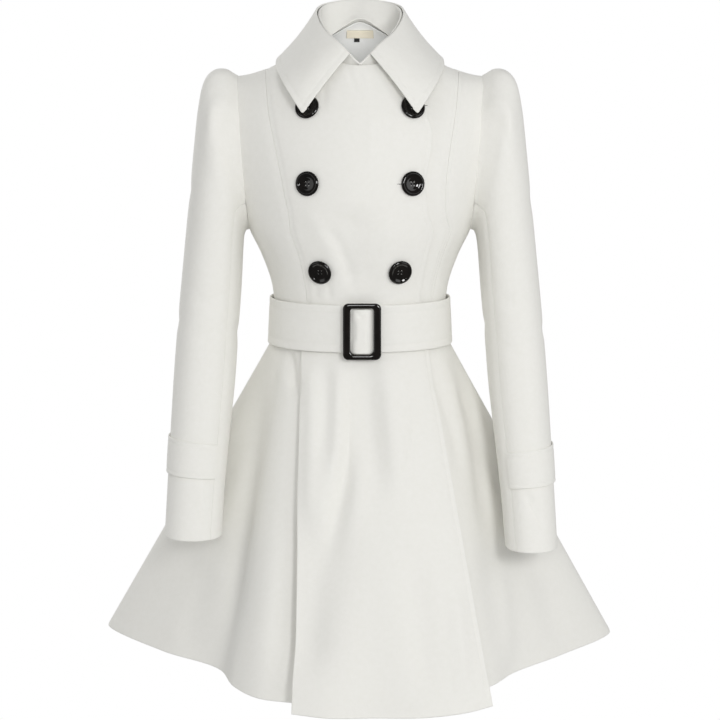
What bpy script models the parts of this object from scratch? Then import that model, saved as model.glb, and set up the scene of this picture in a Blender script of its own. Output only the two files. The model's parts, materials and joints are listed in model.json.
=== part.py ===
"""Flared, belted, double-breasted coat, modelled as the hollow form it keeps when it is worn.

Metres, +Z up, the front faces -Y. The origin lies between the shoulders, where the wearer carries the
coat. Right and left are the wearer's: the right side is at -X. Each cut piece of cloth is an open grid
laid on a worked-out surface and extruded inwards by the wall of the cloth.
"""

import math
from collections import namedtuple

import bmesh
import bpy
import numpy as np
from mathutils import Vector

# Cloth walls and the clearances between pieces
WOOL_WALL = 0.0025
COLLAR_WALL = 0.0026
STRAP_WALL = 0.0020
LINING_WALL = 0.0012
LABEL_WALL = 0.0010
SEAM_GAP = 0.0004
SHOULDER_SEAM_GAP = 0.0018
LAY_GAP = 0.0006
LAP_DROP = WOOL_WALL + 0.0013
NECK_DROP = 0.0036

SIDES = {"right": -1.0, "left": 1.0}

# The armhole, an oval that leans out a little at the shoulder
ARMHOLE_X = 0.1500
ARMHOLE_LEAN = 0.0080
ARMHOLE_Y = 0.0040
ARMHOLE_Z = -0.0960
ARMHOLE_HALF_HEIGHT = 0.0990
ARMHOLE_HALF_DEPTH = 0.0570

# Bodice sections from the waist seam up to the shoulder seam. Depth is the distance of the centre line
# from the side plane. A section ends at the side seam, at half_width, or at an angle of the armhole.
WAIST_Z = -0.3300
Section = namedtuple("Section", "z_centre depth half_width armhole_deg arc_deg slope_power")
FRONT_SECTIONS = (
    Section(WAIST_Z, 0.1010, 0.1105, None, 90.0, 1.0),
    Section(-0.3000, 0.1010, 0.1100, None, 90.0, 1.0),
    Section(-0.2620, 0.1060, 0.1145, None, 90.0, 1.0),
    Section(-0.2250, 0.1150, 0.1275, None, 90.0, 1.0),
    Section(-0.1900, 0.1225, None, 180.0, 90.0, 1.0),
    Section(-0.1500, 0.1265, None, 148.0, 78.0, 1.0),
    Section(-0.1080, 0.1240, None, 118.0, 66.0, 1.0),
    Section(-0.0660, 0.1150, None, 88.0, 56.0, 1.0),
    Section(-0.0280, 0.1000, None, 60.0, 48.0, 1.1),
    Section(0.0300, 0.0720, None, 34.0, 40.0, 1.3),
    Section(0.0740, 0.0300, None, 15.0, 34.0, 1.6),
    Section(0.0850, -0.0040, None, 0.0, 30.0, 1.75),
)
BACK_SECTIONS = (
    Section(WAIST_Z, 0.0880, 0.1105, None, 90.0, 1.0),
    Section(-0.3000, 0.0870, 0.1100, None, 90.0, 1.0),
    Section(-0.2620, 0.0890, 0.1145, None, 90.0, 1.0),
    Section(-0.2250, 0.0950, 0.1275, None, 90.0, 1.0),
    Section(-0.1900, 0.1000, None, 180.0, 90.0, 1.0),
    Section(-0.1500, 0.1035, None, 212.0, 80.0, 1.0),
    Section(-0.1080, 0.1050, None, 242.0, 68.0, 1.0),
    Section(-0.0660, 0.1040, None, 272.0, 56.0, 1.0),
    Section(-0.0240, 0.1000, None, 300.0, 48.0, 1.1),
    Section(0.0300, 0.0880, None, 326.0, 40.0, 1.3),
    Section(0.0740, 0.0460, None, 345.0, 34.0, 1.6),
    Section(0.0850, 0.0040, None, 360.0, 30.0, 1.75),
)
ARMPIT_HEIGHT = 4.0 / 11.0
FACES = {"front": (FRONT_SECTIONS, -1.0), "back": (BACK_SECTIONS, 1.0)}
SIDE_FULLNESS = 0.93
# Part of a half section over which it leaves the centre line level
CENTRE_FLAT = 0.08
# Share of a half section that is trimmed off at the side seam and round the armhole
SIDE_TRIM = 0.0030
# Grid rows lie closer together towards the shoulder, where the cloth turns most
ROW_CROWDING = 1.35

# The neckline on the bodice: the share of the half section at the side of the neck, and the share of
# the height at the middle of the front and of the back
NECK_SIDE_SHARE = 0.41
NECK_FRONT_HEIGHT = 0.803
NECK_BACK_HEIGHT = 0.925
NECK_TRIM = 0.003

# Seams down the bodice: share of the half section against share of the height
SeamPoint = namedtuple("SeamPoint", "height share")
PRINCESS_RIGHT = (
    SeamPoint(0.00, 0.40),
    SeamPoint(0.18, 0.40),
    SeamPoint(0.37, 0.42),
    SeamPoint(0.53, 0.56),
    SeamPoint(0.70, 0.69),
    SeamPoint(1.00, 0.757),
)
PRINCESS_LEFT = (
    SeamPoint(0.00, 0.60),
    SeamPoint(0.18, 0.60),
    SeamPoint(0.37, 0.59),
    SeamPoint(0.53, 0.64),
    SeamPoint(0.75, 0.75),
    SeamPoint(1.00, 0.79),
)
LAP_EDGE = (
    SeamPoint(0.00, 0.470),
    SeamPoint(0.18, 0.465),
    SeamPoint(0.37, 0.450),
    SeamPoint(0.53, 0.470),
    SeamPoint(0.68, 0.530),
    SeamPoint(0.79, 0.380),
    SeamPoint(0.85, 0.280),
    SeamPoint(1.00, 0.220),
)
UNDERLAP_END = (
    SeamPoint(0.00, -0.12),
    SeamPoint(0.53, -0.10),
    SeamPoint(0.76, -0.06),
    SeamPoint(1.00, -0.03),
)
BACK_PRINCESS = (
    SeamPoint(0.00, 0.42),
    SeamPoint(0.37, 0.50),
    SeamPoint(0.70, 0.66),
    SeamPoint(1.00, 0.72),
)

# Skirt: the line of each crest and valley runs straight from the waist seam to the hem. The waist angle
# is counted from the middle of the front, and inset is how far the line starts inside the waist seam.
Fold = namedtuple("Fold", "waist_deg inset hem_x hem_y hem_z")
FRONT_FOLDS = {
    "pleat_edge": Fold(-41.0, 0.0, -0.0840, -0.2620, -0.7640),
    "right_ridge": Fold(-25.0, 0.0, -0.0450, -0.2710, -0.7665),
    "centre": Fold(1.0, 0.0, 0.0150, -0.2680, -0.7675),
    "left_ridge": Fold(26.0, 0.0, 0.0850, -0.2720, -0.7655),
    "lap_side": Fold(41.0, 0.0, 0.1380, -0.2630, -0.7605),
    "lap_edge": Fold(50.0, 0.0, 0.1630, -0.2520, -0.7565),
}
AROUND_FOLDS = {
    "pleat_end": Fold(-30.0, LAP_DROP, -0.0520, -0.2440, -0.7570),
    "pleat_return": Fold(-42.0, LAP_DROP, -0.0920, -0.2340, -0.7570),
    "right_crest": Fold(-51.0, 0.0010, -0.1260, -0.2240, -0.7550),
    "right_slope": Fold(-57.0, 0.0, -0.1580, -0.1910, -0.7490),
    "right_valley": Fold(-63.0, 0.0, -0.1760, -0.1450, -0.7410),
    "right_wing": Fold(-77.0, 0.0, -0.2520, -0.0920, -0.7300),
    "right_tip": Fold(-90.0, 0.0, -0.3330, 0.0030, -0.7170),
    "right_back_wing": Fold(-106.0, 0.0, -0.2680, 0.0980, -0.7290),
    "right_back_valley": Fold(-119.0, 0.0, -0.1960, 0.1480, -0.7410),
    "right_back_crest": Fold(-134.0, 0.0, -0.1440, 0.2240, -0.7550),
    "right_back_dip": Fold(-152.0, 0.0, -0.0830, 0.2140, -0.7570),
    "right_back_ridge": Fold(-167.0, 0.0, -0.0430, 0.2480, -0.7620),
    "centre_back": Fold(-180.0, 0.0, 0.0000, 0.2360, -0.7610),
    "left_back_ridge": Fold(-193.0, 0.0, 0.0430, 0.2480, -0.7620),
    "left_back_dip": Fold(-208.0, 0.0, 0.0830, 0.2140, -0.7570),
    "left_back_crest": Fold(-226.0, 0.0, 0.1440, 0.2240, -0.7550),
    "left_back_valley": Fold(-241.0, 0.0, 0.1960, 0.1480, -0.7410),
    "left_back_wing": Fold(-254.0, 0.0, 0.2680, 0.0980, -0.7320),
    "left_tip": Fold(-270.0, 0.0, 0.3310, 0.0030, -0.7260),
    "left_wing": Fold(-284.0, 0.0, 0.2560, -0.0960, -0.7345),
    "left_root": Fold(-299.0, 0.0010, 0.1920, -0.1560, -0.7420),
    "lap_valley": Fold(-311.0, LAP_DROP, 0.1660, -0.1980, -0.7455),
    "underlap_end": Fold(-325.0, LAP_DROP, 0.1120, -0.2360, -0.7520),
}
SKIRT_PANELS = {
    "skirt_side_right": ("pleat_end", "right_tip", 22),
    "skirt_back_right": ("right_tip", "centre_back", 18),
    "skirt_back_left": ("centre_back", "left_tip", 18),
    "skirt_side_left": ("left_tip", "underlap_end", 15),
}
SKIRT_ROWS = 7
FRONT_SKIRT_COLUMNS = 13
# The soft trough that runs down from the buckle in the front skirt
TROUGH_DEPTH = 0.0110
TROUGH_DEG = 3.0
TROUGH_HALF_WIDTH_DEG = 13.0
TROUGH_HEIGHT = 0.22
TROUGH_REACH = 0.30

# Sleeve stations from the armhole to the cuff: the outer line and the inner line of the sleeve in front
# view, the middle plane of the sleeve and half its depth from front to back
Station = namedtuple("Station", "x_outer z_outer x_inner z_inner y_middle half_depth")
SLEEVE_STATIONS = (
    Station(0.1584, 0.0030, 0.1427, -0.1945, 0.0040, 0.0570),
    Station(0.1720, 0.0112, 0.1462, -0.1956, 0.0035, 0.0600),
    Station(0.1880, 0.0090, 0.1480, -0.1985, 0.0020, 0.0632),
    Station(0.2000, -0.0060, 0.1492, -0.2025, 0.0000, 0.0655),
    Station(0.2072, -0.0390, 0.1500, -0.2095, -0.0010, 0.0662),
    Station(0.2125, -0.0850, 0.1508, -0.2210, -0.0020, 0.0655),
    Station(0.2185, -0.1450, 0.1518, -0.2430, -0.0040, 0.0640),
    Station(0.2250, -0.2100, 0.1535, -0.2750, -0.0080, 0.0610),
    Station(0.2325, -0.2900, 0.1570, -0.3250, -0.0180, 0.0570),
    Station(0.2380, -0.3650, 0.1605, -0.3850, -0.0380, 0.0530),
    Station(0.2415, -0.4400, 0.1665, -0.4500, -0.0660, 0.0490),
    Station(0.2440, -0.5050, 0.1715, -0.5100, -0.0940, 0.0455),
    Station(0.2460, -0.5690, 0.1745, -0.5695, -0.1260, 0.0430),
)
# How far the left cuff hangs lower and further out than the right one, and its narrower look
LEFT_CUFF_DROP = 0.0150
LEFT_CUFF_SWING = 0.0060
LEFT_SLEEVE_NARROWING = 0.0060
SLEEVE_SEAM_DEG = 130.0
SLEEVE_FULLNESS = 0.90
SLEEVE_ROWS = 16
UPPER_SLEEVE_COLUMNS = 13
UNDER_SLEEVE_COLUMNS = 6
# Tucks that gather the sleeve head into the armhole: angle round the sleeve, half width and height
Tuck = namedtuple("Tuck", "deg half_width_deg height")
SLEEVE_TUCKS = (
    Tuck(58.0, 17.0, 0.0035),
    Tuck(-58.0, 17.0, 0.0035),
    Tuck(20.0, 14.0, 0.0015),
    Tuck(-20.0, 14.0, 0.0015),
)
TUCK_STATION = 2.0
TUCK_REACH = 3.0

# Cuff strap, sewn into the front seam and round the outside of the sleeve
STRAP_TOP_STATION = 10.15
STRAP_BOTTOM_STATION = 10.83

# Collar: share of the way round the neck from the middle of the front to the middle of the back
CollarPoint = namedtuple("CollarPoint", "share x y z bulge")
NECK_SIDE_AT = 0.56
ROLL_LINE = (
    CollarPoint(0.00, 0.0006, -0.0800, 0.0170, 0.0),
    CollarPoint(0.10, 0.0180, -0.0720, 0.0370, 0.0),
    CollarPoint(0.28, 0.0400, -0.0450, 0.0570, 0.0),
    CollarPoint(0.50, 0.0530, -0.0020, 0.0800, 0.0),
    CollarPoint(0.75, 0.0430, 0.0400, 0.0930, 0.0),
    CollarPoint(1.00, 0.0000, 0.0590, 0.0980, 0.0),
)
FALL_EDGE = (
    CollarPoint(0.09, 0.0660, -0.1085, -0.0375, 0.0040),
    CollarPoint(0.22, 0.0800, -0.0985, -0.0190, 0.0040),
    CollarPoint(0.36, 0.0970, -0.0730, 0.0030, 0.0),
    CollarPoint(0.52, 0.1080, -0.0120, 0.0225, -0.0050),
    CollarPoint(0.68, 0.1010, 0.0490, 0.0270, -0.0020),
    CollarPoint(0.84, 0.0620, 0.0900, 0.0270, 0.0020),
    CollarPoint(1.00, 0.0000, 0.1030, 0.0290, 0.0040),
)
FALL_START = 0.09
FALL_LIFT = 0.0018
STAND_INSET = 0.0016
STAND_LIFT = 0.0011
COLLAR_COLUMNS = 26

# Belt and buckle
BELT_TOP_Z = -0.2810
BELT_BOTTOM_Z = -0.3405
BELT_WALL = 0.0028
BELT_TOP_CLEARANCE = 0.0036
BELT_BOTTOM_CLEARANCE = 0.0085
BELT_COLUMNS = 40
BELT_END_DEG = 2.5
BUCKLE_WIDTH = 0.0480
BUCKLE_HEIGHT = 0.0710
BUCKLE_BAR = 0.0095
BUCKLE_DEPTH = 0.0055
BUCKLE_CORNER = 0.0070
BUCKLE_WINDOW_CORNER = 0.0030
BUCKLE_DROP = -0.0028
BUCKLE_X = 0.0025
BUCKLE_BEVEL = 0.0012
WRAP_RISE = 0.0050
WRAP_TUCK = 0.0030
WRAP_MARGIN = 0.0012
WRAP_SETBACK = 0.0012

# Buttons: height up the bodice of each row, and distance of each column from the middle
BUTTON_RADIUS = 0.0150
BUTTON_STEPS = 16
ButtonRow = namedtuple("ButtonRow", "name z x lift")
BUTTON_ROWS = (
    ButtonRow("top", -0.0345, 0.0655, 0.0001),
    ButtonRow("middle", -0.1280, 0.0650, 0.0),
    ButtonRow("bottom", -0.2390, 0.0495, 0.0007),
)
# Turned outline of a button, from the middle of the face over the rim to the middle of the back
TurnPoint = namedtuple("TurnPoint", "radius_share height")
BUTTON_PROFILE = (
    TurnPoint(0.00, 0.0026),
    TurnPoint(0.50, 0.0026),
    TurnPoint(0.60, 0.0030),
    TurnPoint(0.72, 0.0042),
    TurnPoint(0.88, 0.0044),
    TurnPoint(0.98, 0.0034),
    TurnPoint(1.00, 0.0020),
    TurnPoint(0.90, 0.0003),
    TurnPoint(0.00, 0.0003),
)

# Neck lining and the plain labels sewn to it
LINING_EASE = 0.0020
LINING_HALF_SHARE = 0.34
LINING_LOW_HEIGHT = 0.66
LABEL_WIDTH = 0.0410
LABEL_TOP_Z = 0.0645
LABEL_HEIGHT = 0.0102
TAB_WIDTH = 0.0085
TAB_HEIGHT = 0.0046
TAB_X = -0.0050

# Looks of the solids: base colour, roughness and metallic value
Finish = namedtuple("Finish", "colour roughness metallic")
FINISHES = {
    "wool": Finish((0.86, 0.86, 0.83), 0.85, 0.0),
    "lining": Finish((0.80, 0.81, 0.80), 0.45, 0.0),
    "label": Finish((0.82, 0.74, 0.58), 0.60, 0.0),
    "black_resin": Finish((0.012, 0.011, 0.010), 0.12, 0.0),
    "black_tape": Finish((0.02, 0.02, 0.02), 0.70, 0.0),
}


def clear_scene():
    for old in list(bpy.data.objects):
        bpy.data.objects.remove(old)


def new_collection(name):
    made = bpy.data.collections.new(name)
    bpy.context.scene.collection.children.link(made)
    return made


def make_materials():
    made = {}
    for name, finish in FINISHES.items():
        material = bpy.data.materials.new(name)
        material.use_nodes = True
        shader = material.node_tree.nodes["Principled BSDF"]
        shader.inputs["Base Color"].default_value = (*finish.colour, 1.0)
        shader.inputs["Roughness"].default_value = finish.roughness
        shader.inputs["Metallic"].default_value = finish.metallic
        made[name] = material
    return made


# Curves and surfaces


def unit(vector):
    return vector / np.linalg.norm(vector)


def ease(share):
    """A smooth step from 0 to 1."""
    share = min(1.0, max(0.0, share))
    return share * share * (3.0 - 2.0 * share)


def bump(distance, reach):
    """A smooth rise of 1 that ends at the given reach."""
    return 0.5 + 0.5 * math.cos(math.pi * min(1.0, abs(distance) / reach))


def through(knots, values, at):
    """A smooth curve through values at rising knots, read at one place."""
    values = np.asarray(values, float)
    slopes = np.gradient(values, np.asarray(knots, float), axis=0)
    k = int(np.clip(np.searchsorted(knots, at) - 1, 0, len(knots) - 2))
    span = knots[k + 1] - knots[k]
    u = (at - knots[k]) / span
    return (
        values[k] * (1 + 2 * u) * (1 - u) ** 2
        + slopes[k] * span * u * (1 - u) ** 2
        + values[k + 1] * u * u * (3 - 2 * u)
        + slopes[k + 1] * span * u * u * (u - 1)
    )


def seam_share(seam, height):
    return float(through([p.height for p in seam], [p.share for p in seam], height))


def armhole_point(degrees):
    """A point of the left armhole: 0 is the shoulder, 90 the front and 180 the armpit."""
    turn = math.radians(degrees)
    return np.array((
        ARMHOLE_X + ARMHOLE_LEAN * math.cos(turn),
        ARMHOLE_Y - ARMHOLE_HALF_DEPTH * math.sin(turn),
        ARMHOLE_Z + ARMHOLE_HALF_HEIGHT * math.cos(turn),
    ))


def section_table(sections, facing):
    """The sections as rows of centre z, centre y, edge x, y and z, arc and slope power."""
    rows = []
    for section in sections:
        if section.armhole_deg is None:
            edge = np.array((section.half_width, ARMHOLE_Y, section.z_centre))
        else:
            edge = armhole_point(section.armhole_deg)
        centre_y = facing * section.depth
        rows.append((section.z_centre, centre_y, *edge, section.arc_deg, section.slope_power))
    return np.array(rows)


SECTION_TABLES = {face: section_table(rows, facing) for face, (rows, facing) in FACES.items()}


def bodice_surface(face, share, height):
    """A point of the bodice's outer surface. Share runs from -1, the right edge, to 1, the left edge."""
    table = SECTION_TABLES[face]
    knots = np.linspace(0.0, 1.0, len(table))
    z_in, y_in, x_out, y_out, z_out, arc_deg, power = through(knots, table, height)
    if height < ARMPIT_HEIGHT:
        y_out, arc_deg = ARMHOLE_Y, 90.0
    across, arc = abs(share), math.radians(arc_deg)
    turn = across * arc
    wide = math.sin(turn) / math.sin(arc)
    deep = (1.0 - math.cos(turn)) / (1.0 - math.cos(arc))
    fullness = SIDE_FULLNESS + (1.0 - SIDE_FULLNESS) * ease(height / 0.6)
    x = x_out * wide**fullness
    y = y_in + (y_out - y_in) * (1.0 - (1.0 - deep) ** fullness)
    flat = math.hypot(across, CENTRE_FLAT) - CENTRE_FLAT
    flat = flat / (math.hypot(1.0, CENTRE_FLAT) - CENTRE_FLAT)
    z = z_in + (z_out - z_in) * (1.0 - (1.0 - flat) ** power)
    return np.array((math.copysign(x, share), y, z))


def bodice_normal(face, share, height):
    step = 1e-3
    low, high = max(0.0, height - step), min(1.0, height + step)
    along = bodice_surface(face, share, high) - bodice_surface(face, share, low)
    left, right = min(1.0, share + step), max(-1.0, share - step)
    across = bodice_surface(face, left, height) - bodice_surface(face, right, height)
    normal = unit(np.cross(across, along))
    return normal if face == "front" else -normal


def bodice_point(face, share, height, out=0.0):
    return bodice_surface(face, share, height) + out * bodice_normal(face, share, height)


def neck_height(face, share):
    """The share of the height at which a piece of the bodice ends, at the neckline or the shoulder."""
    lowest = NECK_FRONT_HEIGHT if face == "front" else NECK_BACK_HEIGHT
    across = min(1.0, abs(share) / NECK_SIDE_SHARE)
    return 1.0 - (1.0 - lowest) * math.sqrt(1.0 - across * across)


def across_gap(face, height):
    """Half the seam gap as a share of the half section."""
    wide = np.linalg.norm(bodice_surface(face, 1.0, height) - bodice_surface(face, 0.0, height))
    return 0.5 * SEAM_GAP / wide


def shoulder_height(height):
    """Height with the shoulder seam's half gap taken off at the top."""
    return height * (1.0 - 0.5 * SHOULDER_SEAM_GAP / 0.05)


# Building blocks


def surface_normal(point, u, v):
    """The unit normal of a surface, from small steps that stay on it."""
    step = 1e-3
    across = point(min(1.0, u + step), v) - point(max(0.0, u - step), v)
    along = point(u, min(1.0, v + step)) - point(u, max(0.0, v - step))
    return unit(np.cross(across, along))


def cloth_panel(name, point, columns, rows, wall, material, collection, facing_in=False):
    """A grid moved onto a surface and extruded by its wall to the inner side of that surface."""
    bm = bmesh.new()
    bmesh.ops.create_grid(bm, x_segments=columns, y_segments=rows, size=0.5)
    inner = bmesh.ops.extrude_face_region(bm, geom=bm.faces[:], use_keep_orig=True)["geom"]
    inner_verts = {item for item in inner if isinstance(item, bmesh.types.BMVert)}
    outward = -1.0 if facing_in else 1.0
    for vertex in bm.verts:
        u, v = vertex.co.x + 0.5, vertex.co.y + 0.5
        depth = wall if vertex in inner_verts else 0.0
        vertex.co = point(u, v) - outward * depth * surface_normal(point, u, v)
    bmesh.ops.triangulate(bm, faces=bm.faces)
    bmesh.ops.recalc_face_normals(bm, faces=bm.faces)
    if bm.calc_volume(signed=True) < 0.0:
        bmesh.ops.reverse_faces(bm, faces=bm.faces)
    mesh = bpy.data.meshes.new(name)
    bm.to_mesh(mesh)
    bm.free()
    mesh.shade_smooth()
    made = bpy.data.objects.new(name, mesh)
    collection.objects.link(made)
    made.data.materials.append(material)
    return made


def bodice_piece(name, face, start, end, columns, rows, wool, collection, drop=None, cut_neck=False):
    """A bodice panel between two seams, each a function of height that gives a share."""

    def point(u, v):
        top = NECK_FRONT_HEIGHT if cut_neck else 1.0
        for _ in range(40 if cut_neck else 0):
            edge = neck_height(face, start(top) + (end(top) - start(top)) * u)
            edge -= NECK_TRIM * (1.0 - edge) / (1.0 - NECK_FRONT_HEIGHT)
            top = 0.5 * (top + edge)
        height = shoulder_height(top * (1.0 - (1.0 - v) ** ROW_CROWDING))
        gap = across_gap(face, height)
        low, high = start(height) + gap, end(height) - gap
        share = low + (high - low) * u
        out = -drop(share, height) if drop else 0.0
        return bodice_point(face, share, height, out)

    return cloth_panel(name, point, columns, rows, WOOL_WALL, wool, collection, facing_in=face == "back")


def make_bodice(wool, collection):
    def underlap_drop(share, height):
        lap, seam = seam_share(LAP_EDGE, height), seam_share(PRINCESS_LEFT, height)
        deep = LAP_DROP + NECK_DROP * ease((height - 0.55) / 0.25)
        return deep * (1.0 - ease((share - lap - 0.02) / (seam - lap - 0.02)))

    bodice_piece(
        "bodice_front_right", "front",
        lambda h: -seam_share(PRINCESS_RIGHT, h), lambda h: seam_share(LAP_EDGE, h),
        13, 15, wool, collection, cut_neck=True,
    )
    bodice_piece(
        "bodice_front_left", "front",
        lambda h: seam_share(UNDERLAP_END, h), lambda h: seam_share(PRINCESS_LEFT, h),
        9, 15, wool, collection, drop=underlap_drop, cut_neck=True,
    )
    bodice_piece(
        "bodice_side_front_right", "front",
        lambda h: SIDE_TRIM - 1.0, lambda h: -seam_share(PRINCESS_RIGHT, h), 6, 15, wool, collection,
    )
    bodice_piece(
        "bodice_side_front_left", "front",
        lambda h: seam_share(PRINCESS_LEFT, h), lambda h: 1.0 - SIDE_TRIM, 5, 15, wool, collection,
    )
    bodice_piece(
        "bodice_side_back_right", "back",
        lambda h: SIDE_TRIM - 1.0, lambda h: -seam_share(BACK_PRINCESS, h), 6, 15, wool, collection,
    )
    bodice_piece(
        "bodice_side_back_left", "back",
        lambda h: seam_share(BACK_PRINCESS, h), lambda h: 1.0 - SIDE_TRIM, 6, 15, wool, collection,
    )
    bodice_piece(
        "bodice_back", "back",
        lambda h: -seam_share(BACK_PRINCESS, h), lambda h: seam_share(BACK_PRINCESS, h),
        12, 15, wool, collection, cut_neck=True,
    )


# Skirt


def waist_ring(degrees, inset=0.0):
    """A point of the waist seam, counted from the middle of the front towards the left."""
    turn = math.radians(degrees)
    front, back = FRONT_SECTIONS[0], BACK_SECTIONS[0]
    depth = front.depth + ARMHOLE_Y if math.cos(turn) > 0 else back.depth - ARMHOLE_Y
    wide = math.copysign(abs(math.sin(turn)) ** SIDE_FULLNESS, math.sin(turn))
    deep = math.copysign(abs(math.cos(turn)) ** SIDE_FULLNESS, math.cos(turn))
    return np.array((
        (front.half_width - inset) * wide,
        ARMHOLE_Y - (depth - inset) * deep,
        WAIST_Z - SEAM_GAP,
    ))


def fold_lines(folds, down):
    """The places of all fold lines at one share of the way from the waist to the hem."""
    places = []
    for fold in folds:
        waist = waist_ring(fold.waist_deg, fold.inset)
        hem = np.array((fold.hem_x, fold.hem_y, fold.hem_z))
        places.append(waist + (hem - waist) * down)
    return np.array(places)


def ring_point(folds, first, last, across, down):
    """A point of the smooth curve through the fold lines, between two of them."""
    places = fold_lines(folds, down)
    knots = np.concatenate(([0.0], np.cumsum(np.linalg.norm(np.diff(places, axis=0), axis=1))))
    half_gap = 0.5 * SEAM_GAP
    low, high = knots[first] + half_gap, knots[last] - half_gap
    return through(knots, places, low + (high - low) * across)


def make_skirt(wool, collection):
    names = list(AROUND_FOLDS)
    around = list(AROUND_FOLDS.values())
    front = list(FRONT_FOLDS.values())

    def trough(across, down):
        degrees = front[0].waist_deg + (front[-1].waist_deg - front[0].waist_deg) * across
        side = bump(degrees - TROUGH_DEG, TROUGH_HALF_WIDTH_DEG)
        return TROUGH_DEPTH * side * bump(down - TROUGH_HEIGHT, TROUGH_REACH)

    def front_point(u, v):
        place = ring_point(front, 0, len(front) - 1, u, 1.0 - v)
        return place + np.array((0.0, trough(u, 1.0 - v), 0.0))

    rows = SKIRT_ROWS + 3
    cloth_panel("skirt_front", front_point, FRONT_SKIRT_COLUMNS, rows, WOOL_WALL, wool, collection)
    for name, (first, last, columns) in SKIRT_PANELS.items():
        ends = names.index(first), names.index(last)

        def panel_point(u, v, ends=ends):
            return ring_point(around, *ends, u, 1.0 - v)

        cloth_panel(name, panel_point, columns, SKIRT_ROWS, WOOL_WALL, wool, collection, facing_in=True)


# Sleeves


def sleeve_table(side):
    """The stations of one sleeve, with the left one's own hang worked in."""
    rows = np.array(SLEEVE_STATIONS)
    if side == "left":
        share = np.linspace(0.0, 1.0, len(rows))[:, None] ** 2
        rows = rows + share * np.array((
            LEFT_CUFF_SWING - 0.5 * LEFT_SLEEVE_NARROWING, -LEFT_CUFF_DROP,
            LEFT_CUFF_SWING + 0.5 * LEFT_SLEEVE_NARROWING, -LEFT_CUFF_DROP, 0.0, 0.0,
        ))
    return rows


def tuck_rise(degrees, station):
    """The rise of the tucks on the sleeve head."""
    rise = sum(t.height * bump(degrees - t.deg, t.half_width_deg) for t in SLEEVE_TUCKS)
    return rise * bump(station - TUCK_STATION, TUCK_REACH) if station > 0 else 0.0


def sleeve_point(side, degrees, station):
    """A point of the sleeve's outer surface. 0 degrees is its outer line and 90 its front."""
    table = sleeve_table(side)
    knots = np.arange(len(table), dtype=float)
    x_outer, z_outer, x_inner, z_inner, y_middle, half_depth = through(knots, table, station)
    turn = math.radians(degrees)
    along = math.copysign(abs(math.cos(turn)) ** SLEEVE_FULLNESS, math.cos(turn))
    deep = math.copysign(abs(math.sin(turn)) ** SLEEVE_FULLNESS, math.sin(turn))
    half_axis = 0.5 * np.array((x_outer - x_inner, 0.0, z_outer - z_inner))
    middle = np.array((0.5 * (x_outer + x_inner), y_middle, 0.5 * (z_outer + z_inner)))
    outward = unit(half_axis) * math.cos(turn) + np.array((0.0, -math.sin(turn), 0.0))
    place = middle + half_axis * along + np.array((0.0, -half_depth * deep, 0.0))
    place = place + outward * tuck_rise(degrees, station)
    return place * np.array((SIDES[side], 1.0, 1.0))


def make_sleeves(wool, collection):
    last = len(SLEEVE_STATIONS) - 1.0
    gap_deg = 0.25
    pieces = {
        "upper": (-SLEEVE_SEAM_DEG, SLEEVE_SEAM_DEG, UPPER_SLEEVE_COLUMNS),
        "under": (SLEEVE_SEAM_DEG, 360.0 - SLEEVE_SEAM_DEG, UNDER_SLEEVE_COLUMNS),
    }
    for side in SIDES:
        for piece, (start, end, columns) in pieces.items():

            def point(u, v, side=side, start=start + gap_deg, end=end - gap_deg):
                return sleeve_point(side, start + (end - start) * u, last * (1.0 - v))

            cloth_panel(
                f"sleeve_{piece}_{side}", point, columns, SLEEVE_ROWS, WOOL_WALL, wool, collection,
                facing_in=side == "left",
            )

        strap_end = 2.0 * SLEEVE_SEAM_DEG / UPPER_SLEEVE_COLUMNS - SLEEVE_SEAM_DEG

        def under_strap(u, v, side=side, strap_end=strap_end):
            degrees = strap_end + (SLEEVE_SEAM_DEG - strap_end) * u
            station = STRAP_BOTTOM_STATION + (STRAP_TOP_STATION - STRAP_BOTTOM_STATION) * v
            return sleeve_point(side, degrees, station)

        def strap_point(u, v, side=side, under_strap=under_strap):
            outward = -SIDES[side] * surface_normal(under_strap, u, v)
            return under_strap(u, v) + outward * (LAY_GAP + STRAP_WALL)

        cloth_panel(
            f"cuff_strap_{side}", strap_point, UPPER_SLEEVE_COLUMNS - 1, 2, STRAP_WALL, wool, collection,
            facing_in=side == "left",
        )


# Collar


def neckline_point(way):
    """A point of the bodice's left neckline: 0 is the middle of the front and 1 that of the back."""
    if way < NECK_SIDE_AT:
        face, share = "front", NECK_SIDE_SHARE * way / NECK_SIDE_AT
    else:
        face, share = "back", NECK_SIDE_SHARE * (1.0 - way) / (1.0 - NECK_SIDE_AT)
    return bodice_surface(face, share, shoulder_height(neck_height(face, share)))


def collar_line(line, way):
    """Place and bulge of a line of the collar, which crosses the middle of the back level."""
    beyond = line[-2]
    mirrored = CollarPoint(2.0 - beyond.share, -beyond.x, beyond.y, beyond.z, beyond.bulge)
    rows = np.array((*line, mirrored))
    found = through(rows[:, 0], rows[:, 1:], way)
    return found[:3], found[3]


def stand_point(way, up):
    """The stand rises from the neckline, a little inside it, to the roll line."""
    low = neckline_point(way)
    inward = unit(np.array((-low[0], -low[1], 0.0)))
    low = low + inward * STAND_INSET + np.array((0.0, 0.0, STAND_LIFT))
    roll, _ = collar_line(ROLL_LINE, way)
    return low + (roll - low) * up


def fall_point(way, down):
    """The fall turns over the roll line and runs out to the collar's edge."""
    roll, _ = collar_line(ROLL_LINE, way)
    outward = unit(np.array((roll[0], roll[1], 0.0)))
    start = roll + outward * (COLLAR_WALL + LAY_GAP) + np.array((0.0, 0.0, FALL_LIFT))
    edge, bulge = collar_line(FALL_EDGE, way)
    across = unit(np.cross(edge - start, np.cross(outward, (0.0, 0.0, 1.0))))
    across = across if across[2] > 0 else -across
    return start + (edge - start) * down + across * bulge * math.sin(math.pi * down)


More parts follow.
